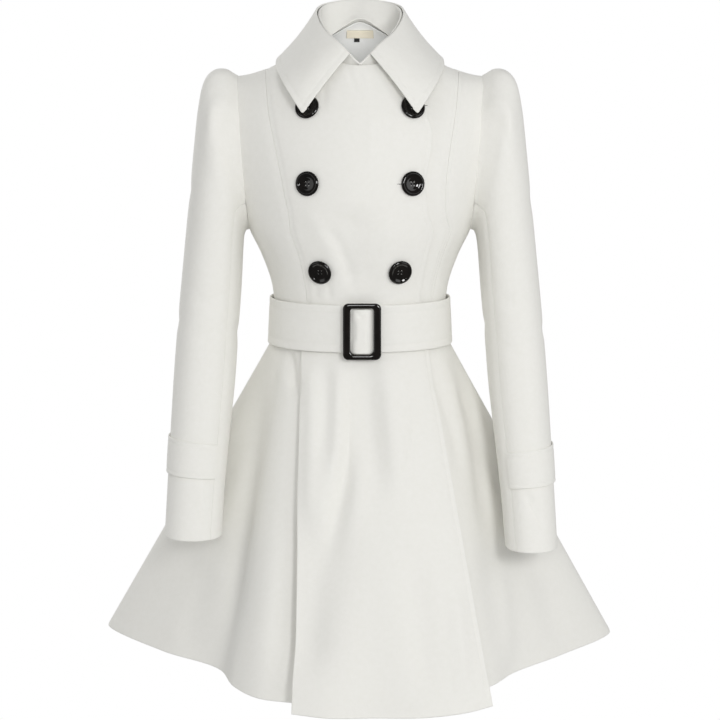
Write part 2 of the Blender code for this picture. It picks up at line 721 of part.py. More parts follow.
def both_sides(half_point, start):
    """A point function over the whole collar from one for its left half."""

    def point(u, v):
        from_middle = 1.0 - abs(2.0 * u - 1.0)
        place = half_point(start + (1.0 - start) * from_middle, v)
        return place * np.array((math.copysign(1.0, u - 0.5), 1.0, 1.0))

    return point


def make_collar(wool, collection):
    stand = both_sides(stand_point, 0.012)
    cloth_panel("collar_stand", stand, COLLAR_COLUMNS, 3, COLLAR_WALL, wool, collection, facing_in=True)
    fall = both_sides(lambda way, v: fall_point(way, 1.0 - v), FALL_START)
    cloth_panel("collar_fall", fall, COLLAR_COLUMNS, 5, COLLAR_WALL, wool, collection, facing_in=True)


# Belt and buckle


def belt_point(degrees, up):
    """A point of the belt's outer face, on the waist ring moved out."""
    clearance = BELT_BOTTOM_CLEARANCE + (BELT_TOP_CLEARANCE - BELT_BOTTOM_CLEARANCE) * up
    place = waist_ring(degrees, -(clearance + BELT_WALL))
    place[2] = BELT_BOTTOM_Z + (BELT_TOP_Z - BELT_BOTTOM_Z) * up
    return place


def belt_front():
    """The middle of the belt's front face, with the directions out of the belt and up along it."""
    upward = unit(belt_point(0.0, 1.0) - belt_point(0.0, 0.0))
    outward = np.array((0.0, -upward[2], upward[1]))
    return belt_point(0.0, 0.5), outward, upward


def on_belt(across, up, out):
    """A place counted from the middle of the buckle."""
    middle, outward, upward = belt_front()
    middle = middle + upward * BUCKLE_DROP
    return middle + outward * out + upward * up + np.array((BUCKLE_X + across, 0.0, 0.0))


def rounded_outline(name, width, height, corner, collection):
    """A flat rounded rectangle as a filled curve in the XZ plane."""
    curve = bpy.data.curves.new(name, "CURVE")
    curve.dimensions = "2D"
    curve.fill_mode = "BOTH"
    made = bpy.data.objects.new(name, curve)
    collection.objects.link(made)
    add_rounded_spline(curve, width, height, corner)
    return made


def add_rounded_spline(curve, width, height, corner, steps=4):
    spline = curve.splines.new("POLY")
    corners = ((1, 1), (-1, 1), (-1, -1), (1, -1))
    points = []
    for k, (sx, sy) in enumerate(corners):
        for step in range(steps + 1):
            turn = 0.5 * math.pi * (k + step / steps)
            points.append((
                sx * (0.5 * width - corner) + corner * math.cos(turn),
                sy * (0.5 * height - corner) + corner * math.sin(turn),
            ))
    spline.points.add(len(points) - 1)
    for slot, (x, y) in zip(spline.points, points):
        slot.co = (x, y, 0.0, 1.0)
    spline.use_cyclic_u = True


def make_buckle(resin, collection):
    frame = rounded_outline("buckle_frame", BUCKLE_WIDTH, BUCKLE_HEIGHT, BUCKLE_CORNER, collection)
    window = BUCKLE_WIDTH - 2.0 * BUCKLE_BAR, BUCKLE_HEIGHT - 2.0 * BUCKLE_BAR * 0.68
    add_rounded_spline(frame.data, *window, BUCKLE_WINDOW_CORNER)
    frame.data.extrude = 0.5 * BUCKLE_DEPTH
    _, _, upward = belt_front()
    frame.rotation_euler.x = math.atan2(upward[2], upward[1])
    frame.location = on_belt(0.0, 0.0, STRAP_WALL + 2.0 * LAY_GAP + 0.5 * BUCKLE_DEPTH)
    frame.data.materials.append(resin)
    weld = frame.modifiers.new("weld", "WELD")
    weld.merge_threshold = 0.00005
    edge = frame.modifiers.new("edge", "BEVEL")
    edge.width = BUCKLE_BEVEL
    edge.segments = 2
    edge.limit_method = "ANGLE"
    edge.angle_limit = math.radians(50.0)
    return window


def make_belt(wool, resin, collection):
    window = make_buckle(resin, collection)

    def band_point(u, v):
        return belt_point(BELT_END_DEG + (360.0 - 2.0 * BELT_END_DEG) * u, v)

    cloth_panel("belt_band", band_point, BELT_COLUMNS, 2, BELT_WALL, wool, collection)
    half_wide, high = 0.5 * window[0] + WRAP_TUCK, window[1] - 2.0 * WRAP_MARGIN

    def wrap_point(u, v):
        across = half_wide * (2.0 * u - 1.0)
        inside = min(1.0, abs(across) / (0.5 * window[0] - WRAP_MARGIN))
        behind_bar = max(0.0, abs(across) - 0.5 * window[0]) / WRAP_TUCK
        out = STRAP_WALL + 1.5 * LAY_GAP + WRAP_RISE * (1.0 - inside**3) - WRAP_SETBACK * behind_bar
        return on_belt(across, high * (v - 0.5), out)

    cloth_panel("belt_wrap", wrap_point, 12, 2, STRAP_WALL, wool, collection)


# Buttons


def share_at(face, x, z, start):
    """The share and height of the bodice's surface at a place in front view."""
    guess = np.array(start, float)
    for _ in range(25):
        here = bodice_surface(face, *guess)
        step = 1e-4
        by_share = (bodice_surface(face, guess[0] + step, guess[1]) - here) / step
        by_height = (bodice_surface(face, guess[0], guess[1] + step) - here) / step
        slopes = np.array(((by_share[0], by_height[0]), (by_share[2], by_height[2])))
        guess = guess + np.linalg.solve(slopes, (x - here[0], z - here[2]))
    return guess


def make_button(name, place, normal, resin, collection):
    """A turned button with a raised rim round a sunk middle, its back on the cloth."""
    mesh = bpy.data.meshes.new(name)
    outline = [(BUTTON_RADIUS * p.radius_share, 0.0, p.height) for p in BUTTON_PROFILE]
    mesh.from_pydata(outline, [(k, k + 1) for k in range(len(outline) - 1)], [])
    made = bpy.data.objects.new(name, mesh)
    collection.objects.link(made)
    turned = made.modifiers.new("turned", "SCREW")
    turned.steps = turned.render_steps = BUTTON_STEPS
    turned.use_merge_vertices = True
    turned.merge_threshold = 0.00001
    turned.use_smooth_shade = True
    made.rotation_mode = "QUATERNION"
    made.rotation_quaternion = Vector(normal).to_track_quat("Z", "Y")
    made.location = place
    made.data.materials.append(resin)
    return made


def make_buttons(resin, collection):
    for row in BUTTON_ROWS:
        for side, sign in SIDES.items():
            share, height = share_at("front", sign * row.x, row.z, (0.4 * sign, 0.5))
            place = bodice_point("front", share, height, row.lift)
            normal = bodice_normal("front", share, height)
            make_button(f"button_{row.name}_{side}", place, normal, resin, collection)


# Neck lining and labels


def make_neck_lining(materials, collection):
    lining_out = -(WOOL_WALL + LINING_EASE)

    def lining_point(u, v):
        share = LINING_HALF_SHARE * (2.0 * u - 1.0)
        top = neck_height("back", share) - 0.015
        height = LINING_LOW_HEIGHT + (top - LINING_LOW_HEIGHT) * v
        return bodice_point("back", share, height, lining_out)

    satin = materials["lining"]
    cloth_panel("neck_lining", lining_point, 8, 9, LINING_WALL, satin, collection, facing_in=True)
    label_out = lining_out - LINING_WALL - 2.0 * LAY_GAP
    tab_top = LABEL_TOP_Z - LABEL_HEIGHT - LAY_GAP
    pieces = {
        "neck_label": (0.0, LABEL_WIDTH, LABEL_TOP_Z, LABEL_HEIGHT, "label"),
        "size_tab": (TAB_X, TAB_WIDTH, tab_top, TAB_HEIGHT, "black_tape"),
    }
    for name, (middle, width, top, tall, finish) in pieces.items():
        start = share_at("back", 0.5 * width, top - 0.5 * tall, (0.15, 0.85))

        def label_point(u, v, middle=middle, width=width, top=top, tall=tall, guess=start):
            x = middle + width * (u - 0.5)
            z = top - tall * (1.0 - v)
            share, height = share_at("back", abs(x) + 1e-6, z, guess)
            return bodice_point("back", math.copysign(share, x), height, label_out)

        cloth_panel(name, label_point, 4, 2, LABEL_WALL, materials[finish], collection, facing_in=True)


def main():
    clear_scene()
    coat = new_collection("flared_coat")
    materials = make_materials()
    wool, resin = materials["wool"], materials["black_resin"]
    make_bodice(wool, coat)
    make_skirt(wool, coat)
    make_sleeves(wool, coat)
    make_collar(wool, coat)
    make_belt(wool, resin, coat)
    make_buttons(resin, coat)
    make_neck_lining(materials, coat)


main()
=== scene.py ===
"""Looks of the flared coat: felted wool cut piece by piece, with creases, stitching, buckle and buttons.

Metres, +Z up, the front faces -Y, and the origin lies between the shoulders. Right and left are the
wearer's. Each cut piece of cloth is a fine grid on the same surface as its solid, with rounded edges.
"""

import json
import math
from collections import namedtuple

import bmesh
import bpy
import numpy as np
from mathutils import Matrix, Vector

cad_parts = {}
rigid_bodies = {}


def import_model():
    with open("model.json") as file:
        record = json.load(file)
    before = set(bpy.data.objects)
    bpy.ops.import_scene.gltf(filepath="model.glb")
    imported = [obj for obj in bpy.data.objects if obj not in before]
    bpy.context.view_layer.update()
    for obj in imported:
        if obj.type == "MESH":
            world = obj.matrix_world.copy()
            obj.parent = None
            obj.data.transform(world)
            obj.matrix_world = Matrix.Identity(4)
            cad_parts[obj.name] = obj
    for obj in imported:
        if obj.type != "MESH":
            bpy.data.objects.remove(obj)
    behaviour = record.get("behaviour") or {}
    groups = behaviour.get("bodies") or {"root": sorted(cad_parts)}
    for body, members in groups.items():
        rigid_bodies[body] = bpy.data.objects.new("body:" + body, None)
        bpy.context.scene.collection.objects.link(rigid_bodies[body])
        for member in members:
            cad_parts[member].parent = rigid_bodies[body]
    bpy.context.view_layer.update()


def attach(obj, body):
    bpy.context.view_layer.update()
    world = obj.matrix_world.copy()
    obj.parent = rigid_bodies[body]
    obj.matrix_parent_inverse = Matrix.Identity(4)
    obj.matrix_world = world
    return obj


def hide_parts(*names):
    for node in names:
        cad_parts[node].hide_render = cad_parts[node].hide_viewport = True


bl_info = {
    "name": "Flared coat",
    "version": (1, 0, 0),
    "blender": (4, 5, 0),
    "location": "3D View > Sidebar > Coat",
    "description": "Dresses the solids of a flared, belted coat in felted wool",
    "category": "Object",
}

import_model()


def table(columns, *rows):
    """Rows of values under named columns."""
    row = namedtuple("Row", columns)
    return tuple(row(*values) for values in rows)


# Cloth walls and the clearances between pieces
WOOL_WALL = 0.0025
COLLAR_WALL = 0.0026
STRAP_WALL = 0.0020
LINING_WALL = 0.0012
LABEL_WALL = 0.0010
SEAM_GAP = 0.0001
SHOULDER_SEAM_GAP = 0.0002
LAY_GAP = 0.0006
LAP_EASE = 0.0013
LAP_DROP = WOOL_WALL + LAP_EASE
NECK_DROP = 0.0036

SIDES = {"right": -1.0, "left": 1.0}

# The armhole, an oval that leans out a little at the shoulder
ARMHOLE_X = 0.1500
ARMHOLE_LEAN = 0.0080
ARMHOLE_Y = 0.0040
ARMHOLE_Z = -0.0960
ARMHOLE_HALF_HEIGHT = 0.0990
ARMHOLE_HALF_DEPTH = 0.0570

# Bodice sections from the waist seam up to the shoulder seam
WAIST_Z = -0.3300
SECTION_COLUMNS = "z_centre depth half_width armhole_deg arc_deg slope_power"
FRONT_SECTIONS = table(
    SECTION_COLUMNS,
    (WAIST_Z, 0.1010, 0.1105, None, 90.0, 1.0),
    (-0.3000, 0.1010, 0.1100, None, 90.0, 1.0),
    (-0.2620, 0.1060, 0.1145, None, 90.0, 1.0),
    (-0.2250, 0.1150, 0.1275, None, 90.0, 1.0),
    (-0.1900, 0.1225, None, 180.0, 90.0, 1.0),
    (-0.1500, 0.1265, None, 148.0, 78.0, 1.0),
    (-0.1080, 0.1240, None, 118.0, 66.0, 1.0),
    (-0.0660, 0.1150, None, 88.0, 56.0, 1.0),
    (-0.0280, 0.1000, None, 60.0, 48.0, 1.1),
    (0.0300, 0.0720, None, 34.0, 40.0, 1.3),
    (0.0740, 0.0300, None, 15.0, 34.0, 1.6),
    (0.0850, -0.0040, None, 0.0, 30.0, 1.75),
)
BACK_SECTIONS = table(
    SECTION_COLUMNS,
    (WAIST_Z, 0.0880, 0.1105, None, 90.0, 1.0),
    (-0.3000, 0.0870, 0.1100, None, 90.0, 1.0),
    (-0.2620, 0.0890, 0.1145, None, 90.0, 1.0),
    (-0.2250, 0.0950, 0.1275, None, 90.0, 1.0),
    (-0.1900, 0.1000, None, 180.0, 90.0, 1.0),
    (-0.1500, 0.1035, None, 212.0, 80.0, 1.0),
    (-0.1080, 0.1050, None, 242.0, 68.0, 1.0),
    (-0.0660, 0.1040, None, 272.0, 56.0, 1.0),
    (-0.0240, 0.1000, None, 300.0, 48.0, 1.1),
    (0.0300, 0.0880, None, 326.0, 40.0, 1.3),
    (0.0740, 0.0460, None, 345.0, 34.0, 1.6),
    (0.0850, 0.0040, None, 360.0, 30.0, 1.75),
)
ARMPIT_HEIGHT = 4.0 / 11.0
FACES = {"front": (FRONT_SECTIONS, -1.0), "back": (BACK_SECTIONS, 1.0)}
SIDE_FULLNESS = 0.93
CENTRE_FLAT = 0.08
SIDE_TRIM = 0.0005
BODICE_LENGTH = 0.43
# Length of the surface for one unit of height at the shoulder
SHOULDER_SPAN = 0.05
# Height above which the sides of the sections are plain arcs
PLAIN_SIDE_HEIGHT = 0.6

# The neckline on the bodice
NECK_SIDE_SHARE = 0.41
NECK_FRONT_HEIGHT = 0.803
NECK_BACK_HEIGHT = 0.925
NECK_TRIM = 0.003
NECK_ROUNDS = 40

# The underlap sinks deeper from this height up, and rises to its seam from a margin past the lap's edge
DEEP_LAP_HEIGHT = 0.55
DEEP_LAP_REACH = 0.25
LAP_MARGIN = 0.02

# Seams down the bodice: share of the half section against share of the height
SEAM_COLUMNS = "height share"
PRINCESS_RIGHT = table(
    SEAM_COLUMNS, (0.00, 0.40), (0.18, 0.40), (0.37, 0.42), (0.53, 0.56), (0.70, 0.69), (1.00, 0.757),
)
PRINCESS_LEFT = table(
    SEAM_COLUMNS, (0.00, 0.60), (0.18, 0.60), (0.37, 0.59), (0.53, 0.64), (0.75, 0.75), (1.00, 0.79),
)
LAP_EDGE = table(
    SEAM_COLUMNS, (0.00, 0.470), (0.18, 0.465), (0.37, 0.450), (0.53, 0.470), (0.68, 0.530), (0.79, 0.380),
    (0.85, 0.280), (1.00, 0.220),
)
UNDERLAP_END = table(SEAM_COLUMNS, (0.00, -0.12), (0.53, -0.10), (0.76, -0.06), (1.00, -0.03))
BACK_PRINCESS = table(SEAM_COLUMNS, (0.00, 0.42), (0.37, 0.50), (0.70, 0.66), (1.00, 0.72))

# Skirt: each crest and valley runs straight from the waist seam to the hem
Fold = namedtuple("Fold", "waist_deg inset hem_x hem_y hem_z")
FRONT_FOLDS = {
    "pleat_edge": Fold(-41.0, 0.0, -0.0840, -0.2620, -0.7640),
    "right_ridge": Fold(-25.0, 0.0, -0.0450, -0.2710, -0.7665),
    "centre": Fold(1.0, 0.0, 0.0150, -0.2680, -0.7675),
    "left_ridge": Fold(26.0, 0.0, 0.0850, -0.2720, -0.7655),
    "lap_side": Fold(41.0, 0.0, 0.1380, -0.2630, -0.7605),
    "lap_edge": Fold(50.0, 0.0, 0.1630, -0.2520, -0.7565),
}
# Folds of the right back, which the left back mirrors
BACK_FOLDS = {
    "back_valley": Fold(-119.0, 0.0, -0.1960, 0.1480, -0.7410),
    "back_crest": Fold(-134.0, 0.0, -0.1440, 0.2240, -0.7550),
    "back_dip": Fold(-152.0, 0.0, -0.0830, 0.2140, -0.7570),
    "back_ridge": Fold(-167.0, 0.0, -0.0430, 0.2480, -0.7620),
}


def mirrored_fold(fold):
    return fold._replace(waist_deg=-360.0 - fold.waist_deg, hem_x=-fold.hem_x)


AROUND_FOLDS = {
    "pleat_end": Fold(-30.0, LAP_DROP, -0.0520, -0.2440, -0.7570),
    "pleat_return": Fold(-42.0, LAP_DROP, -0.0920, -0.2340, -0.7570),
    "right_crest": Fold(-51.0, 0.0010, -0.1260, -0.2240, -0.7550),
    "right_slope": Fold(-57.0, 0.0, -0.1580, -0.1910, -0.7490),
    "right_valley": Fold(-63.0, 0.0, -0.1760, -0.1450, -0.7410),
    "right_wing": Fold(-77.0, 0.0, -0.2520, -0.0920, -0.7300),
    "right_tip": Fold(-90.0, 0.0, -0.3330, 0.0030, -0.7170),
    "right_back_wing": Fold(-106.0, 0.0, -0.2680, 0.0980, -0.7290),
    **{f"right_{name}": fold for name, fold in BACK_FOLDS.items()},
    "centre_back": Fold(-180.0, 0.0, 0.0000, 0.2360, -0.7610),
    **{f"left_{name}": mirrored_fold(fold) for name, fold in reversed(BACK_FOLDS.items())},
    "left_back_wing": Fold(-254.0, 0.0, 0.2680, 0.0980, -0.7320),
    "left_tip": Fold(-270.0, 0.0, 0.3310, 0.0030, -0.7260),
    "left_wing": Fold(-284.0, 0.0, 0.2560, -0.0960, -0.7345),
    "left_root": Fold(-299.0, 0.0010, 0.1920, -0.1560, -0.7420),
    "lap_valley": Fold(-311.0, LAP_DROP, 0.1660, -0.1980, -0.7455),
    "underlap_end": Fold(-325.0, LAP_DROP, 0.1120, -0.2360, -0.7520),
}
SKIRT_PANELS = {
    "skirt_side_right": ("pleat_end", "right_tip"),
    "skirt_back_right": ("right_tip", "centre_back"),
    "skirt_back_left": ("centre_back", "left_tip"),
    "skirt_side_left": ("left_tip", "underlap_end"),
}
SKIRT_LENGTH = 0.46
TROUGH_DEPTH = 0.0110
TROUGH_DEG = 3.0
TROUGH_HALF_WIDTH_DEG = 13.0
TROUGH_HEIGHT = 0.22
TROUGH_REACH = 0.30

# Sleeve stations from the armhole to the cuff
SLEEVE_STATIONS = table(
    "x_outer z_outer x_inner z_inner y_middle half_depth",
    (0.1584, 0.0030, 0.1427, -0.1945, 0.0040, 0.0570),
    (0.1720, 0.0112, 0.1462, -0.1956, 0.0035, 0.0600),
    (0.1880, 0.0090, 0.1480, -0.1985, 0.0020, 0.0632),
    (0.2000, -0.0060, 0.1492, -0.2025, 0.0000, 0.0655),
    (0.2072, -0.0390, 0.1500, -0.2095, -0.0010, 0.0662),
    (0.2125, -0.0850, 0.1508, -0.2210, -0.0020, 0.0655),
    (0.2185, -0.1450, 0.1518, -0.2430, -0.0040, 0.0640),
    (0.2250, -0.2100, 0.1535, -0.2750, -0.0080, 0.0610),
    (0.2325, -0.2900, 0.1570, -0.3250, -0.0180, 0.0570),
    (0.2380, -0.3650, 0.1605, -0.3850, -0.0380, 0.0530),
    (0.2415, -0.4400, 0.1665, -0.4500, -0.0660, 0.0490),
    (0.2440, -0.5050, 0.1715, -0.5100, -0.0940, 0.0455),
    (0.2460, -0.5690, 0.1745, -0.5695, -0.1260, 0.0430),
)
SLEEVE_LENGTH = 0.62
# How far the sleeve head goes in under the edge of the armhole, and over which share of the length
SLEEVE_TUCK = 0.0015
SLEEVE_TUCK_SHARE = 0.01
LEFT_CUFF_DROP = 0.0150
LEFT_CUFF_SWING = 0.0060
LEFT_SLEEVE_NARROWING = 0.0060
SLEEVE_SEAM_DEG = 130.0
SLEEVE_SEAM_GAP_DEG = 0.05
SLEEVE_FULLNESS = 0.90
# Stations over which the sleeve comes to its full section
FULL_SECTION_STATIONS = 1.5
SLEEVE_SAMPLES = 200
# The strap starts one column in from the back seam of the upper sleeve, which has this many
UPPER_SLEEVE_COLUMNS = 13
SLEEVE_TUCKS = table(
    "deg half_width_deg height",
    (58.0, 17.0, 0.0035),
    (-58.0, 17.0, 0.0035),
    (20.0, 14.0, 0.0015),
    (-20.0, 14.0, 0.0015),
)
TUCK_STATION = 2.0
TUCK_REACH = 3.0
STRAP_TOP_STATION = 10.15
STRAP_BOTTOM_STATION = 10.83
STRAP_LENGTH = 0.048

# Collar: share of the way round the neck from the middle of the front to the middle of the back
COLLAR_COLUMNS = "share x y z bulge"
NECK_SIDE_AT = 0.56
ROLL_LINE = table(
    COLLAR_COLUMNS,
    (0.00, 0.0006, -0.0800, 0.0170, 0.0),
    (0.10, 0.0180, -0.0720, 0.0370, 0.0),
    (0.28, 0.0400, -0.0450, 0.0570, 0.0),
    (0.50, 0.0530, -0.0020, 0.0800, 0.0),
    (0.75, 0.0430, 0.0400, 0.0930, 0.0),
    (1.00, 0.0000, 0.0590, 0.0980, 0.0),
)
FALL_EDGE = table(
    COLLAR_COLUMNS,
    (0.09, 0.0715, -0.1085, -0.0420, 0.0040),
    (0.22, 0.0850, -0.0965, -0.0220, 0.0040),
    (0.36, 0.0985, -0.0720, -0.0010, 0.0),
    (0.52, 0.1080, -0.0130, 0.0180, -0.0050),
    (0.68, 0.1010, 0.0490, 0.0270, -0.0020),
    (0.84, 0.0620, 0.0900, 0.0270, 0.0020),
    (1.00, 0.0000, 0.1030, 0.0290, 0.0040),
)
STAND_START = 0.004
STAND_LENGTH = 0.04
FALL_START = 0.09
FALL_LENGTH = 0.08
FALL_HALF_LENGTH = 0.26
# Where the fall's front edge leaves the roll line
ROLL_START = 0.065
TIP_ROUND = 0.0050
FALL_LIFT = 0.0018
STAND_INSET = 0.0032
STAND_TUCK = 0.0050
COLLAR_STEP = 0.003

# Belt and buckle
BELT_TOP_Z = -0.2810
BELT_BOTTOM_Z = -0.3405
BELT_WALL = 0.0028
BELT_TOP_CLEARANCE = 0.0036
BELT_BOTTOM_CLEARANCE = 0.0066
BELT_END_DEG = 2.5
BUCKLE_WIDTH = 0.0480
BUCKLE_HEIGHT = 0.0710
BUCKLE_BAR = 0.0095
# Width of the level bars as a share of the upright ones
LEVEL_BAR_SHARE = 0.68
BUCKLE_WINDOW = (BUCKLE_WIDTH - 2.0 * BUCKLE_BAR, BUCKLE_HEIGHT - 2.0 * BUCKLE_BAR * LEVEL_BAR_SHARE)
BUCKLE_DEPTH = 0.0055
BUCKLE_CORNER = 0.0070
BUCKLE_WINDOW_CORNER = 0.0030
# The window's lower corners as a share of its upper ones
LOW_CORNER_SHARE = 2.5
CORNER_STEPS = 10
# Section of the bar: share of the way from the outer edge to the window, and share of the depth
BUCKLE_SECTION = (
    (0.00, 0.20), (0.00, 0.60), (0.03, 0.78), (0.10, 0.91), (0.22, 0.98), (0.40, 1.00), (0.60, 1.00),
    (0.78, 0.98), (0.90, 0.91), (0.97, 0.78), (1.00, 0.60), (1.00, 0.20), (0.94, 0.06), (0.85, 0.00),
    (0.15, 0.00), (0.06, 0.06),
)
BUCKLE_DROP = -0.0028
BUCKLE_X = 0.0025
WRAP_RISE = 0.0050
WRAP_TUCK = 0.0030
WRAP_MARGIN = 0.0012
WRAP_SETBACK = 0.0012
WRAP_STEP = 0.0015

# Buttons: height of each row, and distance of each column from the middle
BUTTON_RADIUS = 0.0155
BUTTON_ROWS = table(
    "name z x lift",
    ("top", -0.0345, 0.0655, 0.0001),
    ("middle", -0.1280, 0.0650, 0.0),
    ("bottom", -0.2390, 0.0495, 0.0007),
)
# Turned outline of a button, from the middle of the face over the rim to the middle of the back
BUTTON_PROFILE = table(
    "radius_share height", (0.00, 0.0019), (0.12, 0.00195), (0.25, 0.0021), (0.38, 0.0024), (0.46, 0.0027),
    (0.50, 0.00275), (0.56, 0.0028), (0.64, 0.0032), (0.71, 0.0038), (0.76, 0.0043), (0.80, 0.0045),
    (0.84, 0.0045), (0.90, 0.0042), (0.96, 0.0035), (0.99, 0.0029), (1.00, 0.0022), (0.97, 0.0011),
    (0.90, 0.0004), (0.00, 0.0003),
)
HOLE_RADIUS = 0.0011
HOLE_SPREAD = 0.0021
DRILL_LENGTH = 0.02
BUTTON_STEPS = 48
HOLE_STEPS = 16
BUTTON_SHARP_DEG = 40.0
MERGE_DISTANCE = 1e-6
# Where the search for a button's place on the front starts, as a share and a height
BUTTON_GUESS = (0.4, 0.5)
SEWING_HEIGHT = 0.0027
# Radius of the button thread against the width of the sewing thread
SEWING_SHARE = 0.7
SEWING_STEPS = 8
# Ends of the buttonholes that show beside the left buttons, in the front view; the dark line between the
# ends is painted shade of the slit
BUTTONHOLE_SHADE_LINES = (
    ((0.0690, -0.0345), (0.0850, -0.0320)),
    ((0.0455, -0.1280), (0.0600, -0.1285)),
    ((0.0330, -0.2370), (0.0450, -0.2385)),
)
BUTTONHOLE_RISE = 0.0001

# Neck lining and the plain labels sewn to it
LINING_LENGTH = 0.09
LINING_EASE = 0.0020
LINING_HALF_SHARE = 0.34
LINING_LOW_HEIGHT = 0.66
# How far below the neckline the lining ends, as a share of the bodice's height
LINING_TOP_MARGIN = 0.015
LINING_STEP = 0.003
LABEL_WIDTH = 0.0410
LABEL_TOP_Z = 0.0645
LABEL_HEIGHT = 0.0102
TAB_WIDTH = 0.0085
TAB_HEIGHT = 0.0046
TAB_X = -0.0050
LABEL_STEP = 0.0012
# Where the search for a label's place on the back starts, and how far it keeps from the middle line
LABEL_GUESS = (0.15, 0.85)
MIDDLE_CLEARANCE = 1e-6

# Views that creases are placed in: the direction that faces the viewer, and the axis that runs across
VIEWS = {
    "front": ((0.0, -1.0, 0.0), 0),
    "back": ((0.0, 1.0, 0.0), 0),
    "right": ((-1.0, 0.0, 0.0), 1),
    "left": ((1.0, 0.0, 0.0), 1),
}


def placed_creases(**rows_by_view):
    """Creases under the views they are placed in: line as (across, z), half width and rise."""
    rows = [(view, *row) for view, view_rows in rows_by_view.items() for row in view_rows]
    return table("view line half_width rise", *rows)


BODICE_CREASES = placed_creases(
    front=(
        (((-0.010, -0.147), (-0.010, -0.210), (-0.005, -0.271)), 0.026, -0.0045),
        (((-0.052, -0.175), (-0.031, -0.198), (-0.016, -0.233), (-0.006, -0.271)), 0.008, -0.0022),
        (((0.042, -0.163), (0.032, -0.217), (0.023, -0.264)), 0.010, 0.0016),
        (((-0.075, -0.152), (-0.052, -0.183), (-0.034, -0.213), (-0.023, -0.262)), 0.010, 0.0014),
        (((-0.054, -0.253), (-0.056, -0.278)), 0.004, -0.0013),
        (((-0.039, -0.253), (-0.038, -0.278)), 0.004, -0.0013),
        (((-0.019, 0.020), (-0.010, 0.002), (-0.004, -0.018)), 0.004, -0.0013),
        (((-0.004, 0.016), (0.002, -0.001), (0.005, -0.016)), 0.004, -0.0012),
        (((-0.042, -0.008), (-0.047, -0.040)), 0.005, -0.0012),
        (((0.027, -0.042), (0.030, -0.068), (0.027, -0.100)), 0.007, -0.0014),
        (((0.014, -0.036), (0.015, -0.068), (0.012, -0.108)), 0.008, 0.0012),
        (((0.052, -0.044), (0.055, -0.074), (0.051, -0.102)), 0.006, -0.0010),
        (((-0.132, -0.178), (-0.116, -0.222), (-0.106, -0.272)), 0.009, -0.0016),
        (((0.134, -0.182), (0.119, -0.216), (0.104, -0.268)), 0.010, -0.0014),
    ),
    back=(
        (((-0.036, -0.186), (-0.022, -0.236), (-0.013, -0.274)), 0.008, -0.0024),
        (((0.046, -0.178), (0.034, -0.226), (0.028, -0.274)), 0.009, -0.0020),
        (((0.002, -0.142), (0.005, -0.206), (0.000, -0.266)), 0.012, 0.0016),
        (((0.076, -0.196), (0.066, -0.274)), 0.007, -0.0015),
        (((-0.079, -0.186), (-0.068, -0.272)), 0.008, -0.0017),
        (((-0.112, -0.078), (-0.082, -0.126), (-0.052, -0.186)), 0.012, -0.0014),
        (((0.108, -0.068), (0.080, -0.132), (0.062, -0.178)), 0.011, -0.0013),
        (((-0.034, -0.004), (0.000, -0.012), (0.036, -0.002)), 0.009, -0.0010),
    ),
)
